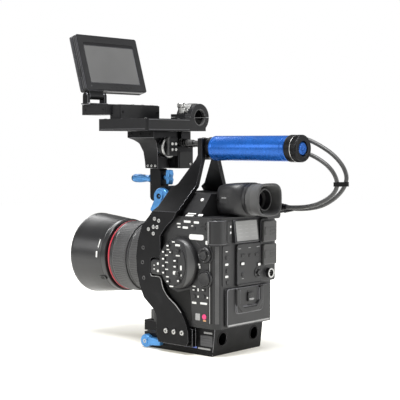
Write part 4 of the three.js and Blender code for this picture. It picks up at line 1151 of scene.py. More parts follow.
@dataclass
class TopHandle(Assembly):
    """The top handle: its block, tube, blue grip, knurled end cap and plug."""

    height: float = 245.0
    grip_radius: float = 15.0

    def build(self) -> None:
        """Makes the handle from its front to its rear."""
        self.refine("handle_block", BLACK_METAL, 1.0, 3)
        self.keep(GREY_METAL, "handle_tube")
        axis = rear_plane(0).moved(0, self.height)
        front, rear = (corner[1] for corner in low_high("handle_grip"))
        r = self.grip_radius
        grip = softened([[8.4, front], [r - 0.7, front], [r, front + 1.2], [r, front + 5.2],
            [r - 0.35, front + 5.5], [r - 0.35, front + 6.1], [r, front + 6.4], [r, rear - 6.4],
            [r - 0.35, rear - 6.1], [r - 0.35, rear - 5.5], [r, rear - 5.2], [r, rear - 1.0], [r - 0.8, rear],
            [8.4, rear]], 0.15, 3)
        self.fit(turned("blue_grip", axis, grip, 128, closed=True), BLUE_GRIP, stands_for=["handle_grip"])
        self.end_cap(axis)
        for i, x in enumerate((-7, 7)):
            self.screw(f"handle_block_screw_{i + 1}", top_plane(257.5).moved(x, 6.5), 2.3, 0.9)
        cheek = low_high("handle_block")[0][1]
        self.screw("handle_block_front_screw", front_plane(cheek).moved(0, 244), 4.0, 1.2)

    def end_cap(self, axis: WorkPlane) -> None:
        """The fluted rear cap with its pale ring and blue plug."""
        start, end = (corner[1] for corner in low_high("handle_cap"))
        cap = softened([[0, start], [14.8, start], [15.6, start + 0.8], [15.8, start + 2],
            [15.8, start + 7.4], [15.0, start + 8.2], [15.0, start + 9.6], [15.8, start + 10.4],
            [15.8, end - 1.6], [14.8, end - 0.1], [9.0, end - 0.1], [8.2, end - 3.4], [0, end - 3.6]], 0.3, 3,
            closed=False)
        flutes = knurl(56, 0.45, start + 10.3, end - 1.4)
        self.fit(turned("end_cap", axis, cap, 224, flutes), BLACK_METAL, "handle_end", ["handle_cap"])
        ring = ring_profile(14.9, 15.5, start + 8.4, start + 9.5, 0.2)
        self.fit(turned("end_cap_ring", axis, ring, 96, closed=True), GREY_METAL, "handle_end")
        plug = softened([[0, end - 3.5], [7.2, end - 3.5], [7.6, end - 1.6], [6.4, end - 0.5],
            [3.0, end - 0.4], [2.2, end - 1.2], [0, end - 1.3]], 0.4, 4, closed=False)
        self.fit(turned("end_plug", axis, plug, 64), BLUE_GRIP, "handle_end", ["handle_plug"])


@dataclass(frozen=True)
class Key:
    """A small control on a flat face: its middle, its size, how far it stands out, and its markings."""

    along: float
    up: float
    width: float
    height: float
    rise: float = 1.0
    mark: bool = False
    round: bool = False


def button(along: float, up: float, size: float, rise: float) -> Key:
    """A plain round key, as wide as it is high."""
    return Key(along, up, size, size, rise, round=True)


@dataclass
class Controls(Assembly):
    """A panel of keys and printed marks on a flat face."""

    def lay(self, prefix: str, plane: WorkPlane, keys: Sequence[Key], finish: Finish) -> None:
        """Makes each key with a shallow surround, and a printed dash on the marked ones.

        Args:
            prefix: what the keys' names start with.
            plane: the face that they stand on.
            keys: the keys.
            finish: the keys' finish.
        """
        for i, key in enumerate(keys):
            place = plane.moved(key.along, key.up)
            radius = min(key.width, key.height) / 2 * (0.98 if key.round else 0.4)
            outline = rectangle(key.width, key.height, radius, 6)
            rim = rectangle(key.width + 1.5, key.height + 1.5, radius + 0.75, 6)
            self.fit(frame_slab(f"{prefix}_surround_{i + 1}", place, rim, 0.55, -0.2, 0.35, 0.15), finish)
            self.fit(slab(f"{prefix}_key_{i + 1}", place, outline, -0.2, key.rise, min(0.35, key.rise * 0.4)),
                finish)
            if key.mark:
                dash = rectangle(key.width * 0.55, key.height * 0.36, key.height * 0.12, 3)
                self.fit(slab(f"{prefix}_key_mark_{i + 1}", place, dash, key.rise - 0.05, key.rise + 0.08,
                    0.03), WHITE_PRINT)

    def print_bars(self, prefix: str, plane: WorkPlane, bars: Sequence[tuple], finish: Finish) -> None:
        """Plain printed bars, each given as (along, up, width, height)."""
        for i, (along, up, width, height) in enumerate(bars):
            bar = rectangle(width, height, min(width, height) * 0.3, 3)
            self.fit(slab(f"{prefix}_{i + 1}", plane.moved(along, up), bar, -0.05, 0.12, 0.04), finish)


@dataclass
class CameraBody(Controls):
    """The camera body: its shell, side controls, rear panel, doors, terminals and turret."""

    left: float = 52.0
    rear: float = 66.0
    front: float = -38.0
    corner_radius: float = 11.0
    cover_height: float = 108.0
    cover_cap: float = 10.4
    lens_height: float = 105.8
    hump_top: float = 191.0
    turret_rear: float = 79.0

    def build(self) -> None:
        """Makes the shell, then each face from the left round to the front."""
        self.refine("camera_shell", BODY_PLASTIC, 1.4, 3)
        self.keep(BOARD, "main_board")
        self.keep(BATTERY, "battery_pack")
        self.keep(GREY_METAL, "sensor_block")
        self.control_cover()
        self.left_face()
        self.card_door()
        self.rear_face()
        self.battery_door()
        self.terminals()
        self.top_face()
        self.right_face()
        self.front_face()

    def control_cover(self) -> None:
        """The oval cover: ellipses whose middle, half sizes and height change together, from foot to cap.

        Row s is (middle + half width cos t, middle + half height sin t, height), from a wide foot to a
        smaller flat top that lies forward of the middle, so that the rear shoulder is the broad one.
        """
        face = left_plane(self.left + 0.3)
        a = np.linspace(0, math.pi / 2, 9)
        foot, top = np.array([9.5, 27.4, 30.8]), np.array([4.8, 21.4, 26.6])
        swing = np.sin(a)[:, None]
        shoulder = np.column_stack([foot + (top - foot) * (1 - np.cos(a))[:, None], 2.6 + 7.2 * swing])
        lip = [[*(top - [0, 0.5, 0.5]), 9.3], [*(top - [0, 0.9, 0.9]), 9.3], [*(top - [0, 1.2, 1.2]), 10.0],
            [*(top - [0, 1.8, 1.8]), 10.4]]
        rows = np.vstack([[[*foot, 0.0]], shoulder, lip])
        t = np.linspace(0, 2 * math.pi, 96, endpoint=False)[None, :]
        points = np.stack([rows[:, :1] + rows[:, 1:2] * np.cos(t),
            self.cover_height + rows[:, 2:3] * np.sin(t), rows[:, 3:] + 0 * t], -1)
        cover = lofted("control_cover_shell", face.lift(points))
        self.fit(weigh_normals(cover), BODY_PLASTIC, stands_for=["control_cover"])
        self.crescent(face, shoulder)
        tongue = slab("control_cover_tongue", face, between((-32.4, -8), (92.7, 110.8), 4.5), 0, 8.8, 2.2, 5)
        self.fit(tongue, BODY_PLASTIC)
        self.fit(slab("tongue_pad", face, between((-29.5, -14), (95.2, 108.4), 3.2), 8.6, 9.3, 0.4),
            CONTROL_PLASTIC)
        cap = face.moved(0, 0, self.cover_cap)
        front = [Key(-9.0, z, 5.6, 5.0, 1.2, mark=True, round=True) for z in (121.5, 113.2, 104.9, 96.6)]
        front += [Key(-1.8, z, 5.6, 5.0, 1.2, mark=True, round=True) for z in (129.2, 86.6)]
        middle = [Key(9.5, 112.0, 7.0, 4.6, 1.0, mark=True), Key(9.5, 105.0, 7.0, 4.6, 1.0, mark=True),
            Key(14.8, 88.4, 5.4, 5.4, 1.1, mark=True, round=True), Key(2.2, 121.8, 5.0, 4.2, 1.0, mark=True)]
        self.lay("cover", cap, front + middle, CONTROL_PLASTIC)
        bars = [(13.4, 130.6, 7.6, 2.2), (13.6, 118.2, 6.4, 1.6), (9.8, 97.4, 8.0, 4.4),
            (-2.0, 124.6, 4.4, 1.4), (-4.4, 117.6, 4.6, 1.3), (-4.2, 109.2, 4.6, 1.3),
            (-4.2, 100.8, 4.6, 1.3), (-3.0, 92.0, 4.6, 1.4), (3.4, 81.0, 6.0, 1.5), (6.6, 134.2, 4.6, 1.3),
            (18.6, 104.0, 2.6, 5.4), (18.4, 95.4, 2.4, 2.6)]
        self.print_bars("cover_mark", cap, bars, WHITE_PRINT)
        dots = [(-19.5, 106.4, 3.0, 3.0), (-19.5, 97.6, 3.0, 3.0), (-25.6, 104.2, 2.0, 1.2),
            (-25.6, 99.6, 2.0, 1.2)]
        self.print_bars("tongue_mark", face.moved(0, 0, 9.3), dots, WHITE_PRINT)
        self.side_buttons(face)

    def crescent(self, face: WorkPlane, shoulder: Floats) -> None:
        """A pale band on the cover's rear shoulder, a painted highlight, from 64 degrees below the middle to
        64 above.
        """
        t = np.radians(np.linspace(-64, 64, 56))[None, :]
        outer = shoulder[2:8][:, None, :] * np.ones((1, t.shape[1], 1))
        taper = np.cos(t * 90 / 66)[..., None]
        middle = shoulder[4:5][:, None, :]
        rows = middle + (outer - middle) * taper
        u = rows[..., 0] + rows[..., 1] * np.cos(t)
        v = self.cover_height + rows[..., 2] * np.sin(t)
        top = np.stack([u, v, rows[..., 3] + 0.3], -1)
        under = np.stack([u - 0.4, v, rows[..., 3] - 0.8], -1)
        # pale band: a painted highlight on the rounded rear shoulder
        self.fit(lofted("control_cover_crescent", face.lift(np.concatenate([top, under[::-1]])), closed=True,
            sharp=50), PALE_PLASTIC_AND_HIGHLIGHT)

    def side_buttons(self, face: WorkPlane) -> None:
        """The two round buttons on the cover, each with a dished top and a raised guard ring."""
        for i in (1, 2):
            low, high = low_high(f"side_button_{i}")
            place = face.moved(*((low + high) / 2)[1:])
            top = high[0] - self.left - 0.3
            dish = softened([[0, 9.4], [2.9, 9.4], [2.9, top], [1.9, top], [1.2, top - 0.35], [0, top - 0.4]],
                0.3, 3, closed=False)
            self.fit(turned(f"cover_button_{i}", place, dish, 48), CONTROL_PLASTIC, f"side_key_{i}",
                [f"side_button_{i}"])
            guard = turned(f"cover_button_guard_{i}", place, ring_profile(3.4, 4.5, 10, 11.2, 0.4), 48,
                closed=True)
            self.fit(guard, BODY_PLASTIC)

    def left_face(self) -> None:
        """The dial, the record button, the small keys, the marks and the panels of the left face, one of them
        a painted shadow.
        """
        face = left_plane(self.left)
        upper = np.array([[-4, 141], [52.4, 141], [52.4, 162.2], [-2, 162.2], [-12, 155]])
        self.fit(slab("upper_side_panel", face, softened(upper, 1.6, 4), -0.3, 0.5, 0.4), BODY_PLASTIC)
        lower = np.array([[30, 38], [52.4, 38], [52.4, 131], [40, 131], [26.0, 139.6], [22, 139.6],
            [26.5, 133], [35, 122], [38.4, 108], [35.4, 94], [26.4, 82]])
        self.fit(slab("lower_side_panel", face, softened(lower, 1.4, 4), -0.3, 0.5, 0.4), BODY_PLASTIC)
        # the dark panel low at the front, behind the arm, is a painted shadow of the arm
        front = np.array([[-13, 40], [27, 40], [23, 78], [4, 73], [-13, 78]])
        self.fit(slab("front_side_panel", face, softened(front, 1.2, 4), -0.3, 0.5, 0.4), PAINTED_SHADE)
        self.corner_light_and_shade()
        self.select_dial(face)
        self.record_button(face)
        face = face.moved(0, 0, 0.5)
        keys = [Key(30.2, 78.2, 5.2, 3.8, 0.8, mark=True), Key(44.8, 79.2, 5.2, 3.8, 0.8, mark=True),
            button(30.2, 70.4, 5.0, 0.9), button(44.8, 71.4, 5.0, 0.9)]
        self.lay("lower_side", face, keys, CONTROL_PLASTIC)
        bars = [(30.4, 62.8, 7.0, 2.4), (45.2, 63.2, 10.4, 2.4), (50.9, 70.4, 2.0, 2.4),
            (30.2, 82.2, 4.6, 1.4), (44.8, 83.2, 4.6, 1.4), (36.6, 78.6, 1.8, 3.4), (36.6, 70.6, 1.8, 2.4)]
        self.print_bars("lower_side_mark", face, bars, WHITE_PRINT)
        tall = [(36.0, 108.6, 7.0, 2.0), (34.6, 105.4, 3.6, 2.2), (39.2, 105.6, 2.0, 3.2)]
        self.print_bars("record_mark", face, tall, WHITE_PRINT)
        self.fit(slab("side_badge", face, between((32.6, 39.6), (42.6, 50.6), 0.8), 0, 0.35, 0.15),
            GREY_PRINT_AND_HIGHLIGHT)
        lamp = turned("side_lamp", face.moved(46.2, 47.4), disc_profile(3.1, 0, 0.6, 0.3), 40)
        self.fit(lamp, MAGENTA_PRINT)
        self.fit(slab("side_lamp_mark", face, between((44.4, 48.8), (42.2, 43.6), 0.4), 0, 0.15, 0.05),
            WARM_PRINT)
        plate = slab("name_plate_blank", face, between((22.8, 45.2), (137.4, 143.8), 3.0, 6), -0.4, 0.5, 0.25)
        self.fit(plate, WHITE_PRINT)
        cluster = [(19.6, 158.4, 10.4, 2.6), (34.0, 158.0, 8.0, 2.6), (16.6, 151.2, 8.4, 2.6),
            (27.4, 152.8, 3.0, 3.0), (6.0, 155.4, 6.0, 1.6), (6.6, 151.4, 4.6, 1.6)]
        self.print_bars("upper_side_mark", face, cluster, WHITE_PRINT)
        slope = WorkPlane((50.2, 0, 164.4), (0, 1, 0), (-0.8, 0, 0.6), (0.6, 0, 0.8))
        self.print_bars("shoulder_mark", slope, [(20, 1.8, 12, 2.4), (21, 5.6, 13, 2.4), (36, 3.4, 7, 3.4)],
            WHITE_PRINT)
        caps = [Key(29.5, 151.2, 5.4, 2.6, 0.7), Key(44.5, 156.4, 7.0, 2.8, 0.7),
            Key(44.5, 151.0, 7.0, 2.8, 0.7)]
        self.lay("upper_side", face, caps, CONTROL_PLASTIC)

    def corner_light_and_shade(self) -> None:
        """The pale line and the pale strip, painted highlights, and the dark strip, a painted shade in place
        of a groove, that run down the round rear left corner.

        Each is a slab on the plane that touches the corner's round at its own angle from the left face. An
        angle below zero lies on the flat face, forward of the round by the same length of arc.
        """
        round_x, round_y = self.left - self.corner_radius, self.rear - self.corner_radius
        stretches = (("lower", "root", 0.0, 40, 131), ("upper", "card_cover", 2.2, 134.5, 159.5))
        # line and strip: painted highlights on the corner; groove: painted shade, a dark strip standing proud
        # of the surface
        lines = (("line", -6.0, 0.45, GREY_PRINT_AND_HIGHLIGHT), ("groove", 10.0, 0.8, PAINTED_SHADE),
            ("strip", 44.0, 2.3, PALE_PLASTIC_AND_HIGHLIGHT))
        for part, body, proud, low, high in stretches:
            radius = self.corner_radius + proud
            for name, degrees, half, finish in lines:
                turn = math.radians(max(degrees, 0.0))
                forward = radius * math.radians(min(degrees, 0.0))
                across, back = math.cos(turn), math.sin(turn)
                place = (round_x + radius * across, round_y + radius * back + forward, 0)
                plane = WorkPlane(place, (-back, across, 0), (0, 0, 1), (across, back, 0))
                self.fit(slab(f"corner_{name}_{part}", plane, between((-half, half), (low, high), 0.3), -0.4,
                    0.22, 0.1), finish, body)

    def select_dial(self, face: WorkPlane) -> None:
        """The select dial: a fluted wheel in a ring, with a dished centre key and a small cross of marks."""
        low, high = low_high("select_dial")
        place = face.moved(*((low + high) / 2)[1:])
        collar = turned("dial_collar", place, ring_profile(9.8, 11.4, -0.2, 1.1, 0.5), 72, closed=True)
        self.fit(collar, BODY_PLASTIC)
        wheel = softened([[0, 0.3], [9.3, 0.3], [9.3, 3.2], [8.2, 4.2], [6.6, 4.0], [6.2, 3.2], [5.4, 3.2],
            [5.2, 5.2], [4.2, 5.7], [2.8, 5.3], [0, 5.2]], 0.3, 3, closed=False)
        self.fit(turned("select_wheel", place, wheel, 144, knurl(36, 0.35, 0.6, 4.0)), CONTROL_PLASTIC,
            "dial", ["select_dial"])
        for i in range(4):
            arm = place.moved(0, 0, 4.05).turned(90 * i)
            self.fit(slab(f"dial_tick_{i + 1}", arm, between((6.9, 7.9), (-0.35, 0.35)), 0, 0.15, 0.05),
                GREY_PRINT_AND_HIGHLIGHT, "dial")

    def record_button(self, face: WorkPlane) -> None:
        """The round record button, dished, in a raised guard ring."""
        low, high = low_high("record_button")
        place = face.moved(*((low + high) / 2)[1:])
        guard = turned("record_guard", place, ring_profile(8.9, 10.6, -0.2, 2.6, 0.7), 80, closed=True)
        self.fit(guard, BODY_PLASTIC)
        dish = softened([[0, 1.9], [8.3, 1.9], [8.3, 3.4], [7.4, 4.1], [4, 3.5], [0, 3.2]], 0.5, 4,
            closed=False)
        self.fit(turned("record_key", place, dish, 80), CONTROL_PLASTIC, "record_key", ["record_button"])

    def card_door(self) -> None:
        """The card door round the rear left corner, with its finger ribs."""
        self.refine("card_door", BODY_PLASTIC, 0.5)
        low, high = low_high("card_door")
        face = left_plane(high[0] - 0.25)
        for i in range(3):
            y = low[1] + 1.6 + 1.3 * i
            self.fit(slab(f"card_door_rib_{i + 1}", face, between((y, y + 0.6), (140, 154), 0.25), 0, 0.35,
                0.15), BODY_PLASTIC, "card_cover")

    def rear_face(self) -> None:
        """The status screen, the rear panel with its keys and joystick, and the button strip beside it."""
        self.refine("rear_panel", BODY_PLASTIC, 0.6)
        face = rear_plane(low_high("rear_panel")[1][1])
        keys = [Key(10.2, 108.4, 7.0, 4.4, 0.9), Key(-21.4, 105.2, 6.0, 4.6, 0.9),
            button(9.2, 95.4, 4.4, 0.9), button(-4.0, 117.2, 3.4, 0.7), Key(-18.0, 117.6, 6.6, 3.0, 0.7),
            Key(8.6, 118.0, 6.6, 3.0, 0.7)]
        self.lay("rear", face, keys, CONTROL_PLASTIC)
        squares = [(10.2, 108.4, 5.6, 3.0), (-21.4, 105.2, 4.6, 3.2)]
        self.print_bars("rear_key_face", face.moved(0, 0, 0.9), squares, WHITE_PRINT)
        bars = [(15.2, 126.4, 5.0, 0.8), (-20.0, 126.8, 5.4, 0.8), (-3.6, 126.6, 4.4, 0.8),
            (9.2, 90.6, 3.4, 0.7)]
        self.print_bars("rear_mark", face, bars, GREY_PRINT_AND_HIGHLIGHT)
        self.fit(slab("rear_panel_sill", face, between((-24.4, 18.4), (82.6, 84.4), 0.6), -0.2, 0.9, 0.5),
            BODY_PLASTIC)
        self.joystick(face)
        self.status_screen()
        self.corner_strip()

    def joystick(self, face: WorkPlane) -> None:
        """The joystick: a fluted mushroom on a stalk, in a dished ring."""
        low, high = low_high("rear_joystick")
        middle = (low + high) / 2
        ring = turned("joystick_ring", face.moved(middle[0], middle[2]),
            ring_profile(4.5, 6.2, -0.1, 0.8, 0.35), 64, closed=True)
        self.fit(ring, BODY_PLASTIC)
        start, end = low[1], high[1]
        stalk = softened([[0, start], [3.8, start], [3.8, start + 1.6], [1.8, start + 2.2],
            [1.8, start + 2.9], [3.0, start + 3.3], [3.0, end - 0.5], [2.0, end], [0, end - 0.4]], 0.25, 3,
            closed=False)
        place = rear_plane(0).moved(middle[0], middle[2])
        self.fit(turned("joystick", place, stalk, 60, knurl(20, 0.2, start + 3.2, end - 0.3)),
            CONTROL_PLASTIC, "joystick", ["rear_joystick"])

    def status_screen(self) -> None:
        """The leaning status screen: a dark frame, a pale window and plain segments behind the glass."""
        low, high = low_high("status_screen")
        self.refine("status_screen", BODY_PLASTIC, 0.4)
        lean = math.atan(3.4 / (high[2] - low[2]))
        face = WorkPlane((0, high[1], low[2]), (1, 0, 0), (0, -math.sin(lean), math.cos(lean)),
            (0, math.cos(lean), math.sin(lean)))
        tall = (high[2] - low[2]) / math.cos(lean)
        window = between((low[0] + 2.0, high[0] - 2.0), (2.0, tall - 1.8), 1.0)
        self.fit(slab("status_window", face, window, -0.1, 0.15, 0.08), STATUS_GLASS)
        self.fit(frame_slab("status_frame", face, between((low[0] + 0.8, high[0] - 0.8), (0.8, tall - 0.6),
            1.6), 1.3, -0.1, 0.55, 0.2), BODY_PLASTIC)
        bars = [(x, z, w, 0.7) for z in (7.0, 11.5, 16.0, 20.5) for x, w in ((-11, 9), (2, 6), (14, 8))]
        self.print_bars("status_segment", face.moved(0, 0, 0.06), bars, GREY_PRINT_AND_HIGHLIGHT)

    def corner_strip(self) -> None:
        """The strip of round buttons and marks between the left corner and the rear panel."""
        face = rear_plane(self.rear)
        strip = slab("corner_strip", face, between((29, 43.5), (83.5, 131.5), 2.0), -0.2, 0.8, 0.4)
        self.fit(strip, BODY_PLASTIC)
        face = face.moved(0, 0, 0.8)
        keys = [button(35.6, 117.4, 5.0, 0.9), button(35.2, 101.6, 5.0, 0.9), button(34.6, 88.2, 5.0, 0.9)]
        self.lay("corner", face, keys, CONTROL_PLASTIC)
        bars = [(36.2, 109.2, 5.6, 2.6), (36.2, 95.0, 5.6, 2.6), (36.4, 124.4, 3.6, 0.9)]
        self.print_bars("corner_mark", face, bars, WHITE_PRINT)
        upper = slab("corner_upper_strip", rear_plane(self.rear), between((26.5, 35.5), (134.5, 160), 2.0),
            -0.2, 0.9, 0.4)
        self.fit(upper, BODY_PLASTIC)
        self.print_bars("corner_upper_mark", rear_plane(self.rear + 0.9),
            [(29.2, 153.2, 2.6, 2.6), (29.2, 146.2, 2.6, 2.6)], WHITE_PRINT)
        left = left_plane(self.left)
        self.print_bars("corner_side_mark", left.moved(0, 0, 0.05), [(49.6, 134.8, 4.0, 4.6)], WHITE_PRINT)

    def battery_door(self) -> None:
        """The battery door with its U-shaped ridge, its latch and the latch's slots."""
        self.refine("battery_cover", BODY_PLASTIC, 1.0, 3)
        low, high = low_high("battery_cover")
        face = rear_plane(low[1] + 4.0)
        self.battery_band(face)
        low, high = low_high("battery_latch")
        middle = (low + high) / 2
        place = rear_plane(low[1]).moved(middle[0], middle[2])
        self.fit(slab("battery_latch_slider", place, rectangle(10, 11, 1.6), 0, 1.8, 0.4), CONTROL_PLASTIC,
            "battery_catch", ["battery_latch"])
        self.fit(slab("battery_latch_lip", place.moved(0, -2.6), rectangle(8, 2.2, 0.9), 1.6, 3.4, 0.7),
            GREY_PRINT_AND_HIGHLIGHT, "battery_catch")
        for i in range(2):
            groove = rectangle(6.4, 1.3, 0.5)
            self.fit(slab(f"battery_latch_rib_{i + 1}", place.moved(0, 1.2 + 2.4 * i), groove, 1.7, 2.2, 0.2),
                CONTROL_PLASTIC, "battery_catch")

    def battery_band(self, face: WorkPlane) -> None:
        """The broad raised band that runs down, across and up the battery door, round the latch."""
        outer = [[-26.5, 79.5], [-26.5, 62], [-17, 50.5], [14, 50.5], [24.5, 60], [24.5, 79.5]]
        inner = [[18.5, 79.5], [18.5, 63], [11, 56.6], [-13.5, 56.6], [-20.5, 64.5], [-20.5, 79.5]]
        band = softened(np.array(outer + inner), [1.9, 6, 6, 6, 6, 1.9, 1.9, 4, 4, 4, 4, 1.9], 6)
        self.fit(slab("battery_band", face, band, -0.4, 2.9, 1.3, 4), BODY_PLASTIC, "battery_door")
        for i, z in enumerate((74.7, 58.1)):
            slot = rectangle(9.0, 1.6, 0.6)
            self.fit(slab(f"battery_slot_{i + 1}", face.moved(-3, z, 0.1), slot, -0.3, 0.5, 0.2),
                CONTROL_PLASTIC, "battery_door")
        sill = between((-42, 37.5), (36.4, 38.2), 0.3)
        self.fit(slab("battery_door_sill", face, sill, -0.3, 0.5, 0.2), GREY_PRINT_AND_HIGHLIGHT, "battery_door")

    def terminals(self) -> None:
        """The terminal column, its two rubber flaps with their pull tabs, and the round socket."""
        self.refine("terminal_column", BODY_PLASTIC, 0.6)
        for i, name in enumerate(("lower", "upper")):
            node = f"terminal_flap_{name}"
            self.refine(node, SOFT_RUBBER, 0.9, 3)
            low, high = low_high(node)
            middle = (low + high) / 2
            face = rear_plane(high[1] - 0.1)
            tab = between((high[0] - 6.5, high[0] - 1.2), (middle[2] - 5, middle[2] + 5), 1.6)
            self.fit(slab(f"{node}_tab", face, tab, 0, 0.9, 0.4), SOFT_RUBBER, f"flap_{name}")
            for k in range(3):
                z = middle[2] + 4 * (k - 1)
                self.fit(slab(f"{node}_rib_{k + 1}", face, between((low[0] + 2.5, low[0] + 13),
                    (z - 0.6, z + 0.6), 0.5), 0, 0.5, 0.2), SOFT_RUBBER, f"flap_{name}")
        socket = rear_plane(69.3).moved(-40, 93.5)
        self.fit(turned("socket_rim", socket, ring_profile(4.1, 5.9, 4.7, 5.3, 0.25), 64, closed=True),
            SCREW_STEEL)
        pins = [(1.9 * math.cos(t), 1.9 * math.sin(t))
            for t in np.linspace(0, 2 * math.pi, 4, endpoint=False) + 0.8]
        for i, (x, z) in enumerate(pins):
            self.fit(turned(f"socket_pin_{i + 1}", socket.moved(x, z), disc_profile(0.5, 0.2, 3.6, 0.3), 16),
                SCREW_STEEL)

    def top_face(self) -> None:
        """The screw on the hump's left slope, the shoe rails on top and the turret's collars."""
        self.fit(turned("hump_screw", WorkPlane((33.4, 27, 183.5), (0, 1, 0), (-0.64, 0, 0.77),
            (0.77, 0, 0.64)), disc_profile(2.2, -1, 1.1, 0.5), 36), WHITE_PRINT)
        top = top_plane(self.hump_top)
        for side, x in (("left", 8.6), ("right", -8.6)):
            rail = between((x - 1.3, x + 1.3), (-4, 14), 0.5)
            self.fit(slab(f"shoe_rail_{side}", top, rail, -0.6, -0.02, 0.2), SCREW_STEEL)
        turret = rear_plane(self.turret_rear)
        for name in ("outer", "inner"):
            low, high = low_high(f"plug_{name}")
            middle = (low + high) / 2
            ring = turned(f"turret_collar_{name}", turret.moved(middle[0], middle[2]),
                ring_profile(5.4, 6.1, -0.3, 0.5, 0.2), 56, closed=True)
            self.fit(ring, SCREW_STEEL)

    def right_face(self) -> None:
        """The right face: a vent of slats, a round grip mount with its teeth, and an audio panel."""
        face = right_plane(-self.left)
        self.fit(frame_slab("vent_frame", face, between((-30, 8), (114, 140), 2.0), 1.6, -0.2, 0.9, 0.4),
            BODY_PLASTIC)
        for i in range(7):
            y = -26.5 + 5.2 * i
            self.fit(slab(f"vent_slat_{i + 1}", face, between((y, y + 2.6), (116.5, 137.5), 0.8), -0.2, 0.7,
                0.3), BODY_PLASTIC)
        mount = face.moved(20, 92)
        dish = softened([[0, -0.2], [17, -0.2], [17, 1.6], [11, 2.2], [10, 1.2], [0, 1.2]], 0.4, 3,
            closed=False)
        self.fit(turned("grip_mount", mount, dish, 96), BLACK_METAL)
        for i in range(24):
            tooth = mount.turned(15 * i).moved(13.4, 0, 1.7)
            self.fit(slab(f"grip_tooth_{i + 1}", tooth, rectangle(4.2, 0.9, 0.3), 0, 0.7, 0.3), BLACK_METAL)
        self.screw("grip_mount_screw", mount.moved(0, 0, 1.2), 4.2, 1.4)
        panel = between((-32, 56), (44, 66), 2.0)
        self.fit(slab("audio_panel", face, panel, -0.3, 0.6, 0.4), BODY_PLASTIC)
        for i in range(3):
            knob = face.moved(4 + 17 * i, 55, 0.6)
            self.fit(turned(f"audio_knob_{i + 1}", knob, softened([[0, 0], [5, 0], [4.6, 3.4], [3.8, 4.0],
                [0, 3.8]], 0.4, 3, closed=False), 90, knurl(30, 0.3, 0.3, 3.5)), CONTROL_PLASTIC)
        self.lay("audio", face.moved(0, 0, 0.6), [Key(-24 + 11 * i, 55, 6, 4, 0.9) for i in range(2)],
            CONTROL_PLASTIC)
        self.print_bars("right_mark", face.moved(0, 0, 0.05), [(48, 120, 10, 1.4), (48, 116.6, 7, 1.0)],
            GREY_PRINT_AND_HIGHLIGHT)

    def front_face(self) -> None:
        """The mount ring with its lugs, and the small buttons beside it."""
        low, high = low_high("mount_ring")
        axis = front_plane(0).moved(0, self.lens_height)
        ring = softened([[27.2, -high[1]], [30.5, -high[1]], [30.5, 39.2], [33.0, 39.2], [33.0, 41.2],
            [30.5, 41.6], [30.5, -low[1]], [27.2, -low[1]]], 0.3, 3)
        self.fit(turned("mount_ring_turned", axis, ring, 128, closed=True), GREY_METAL,
            stands_for=["mount_ring"])
        face = front_plane(self.front)
        keys = [button(-42, 84, 5, 1.2), button(-42, 74, 5, 1.2), Key(42, 68, 6, 4, 1.0)]
        self.lay("front", face, keys, CONTROL_PLASTIC)
        skirt = frame_slab("mount_surround", face.moved(0, self.lens_height), ellipse(37.0, count=96), 3.0,
            -0.2, 1.4, 0.6)
        self.fit(skirt, BODY_PLASTIC)


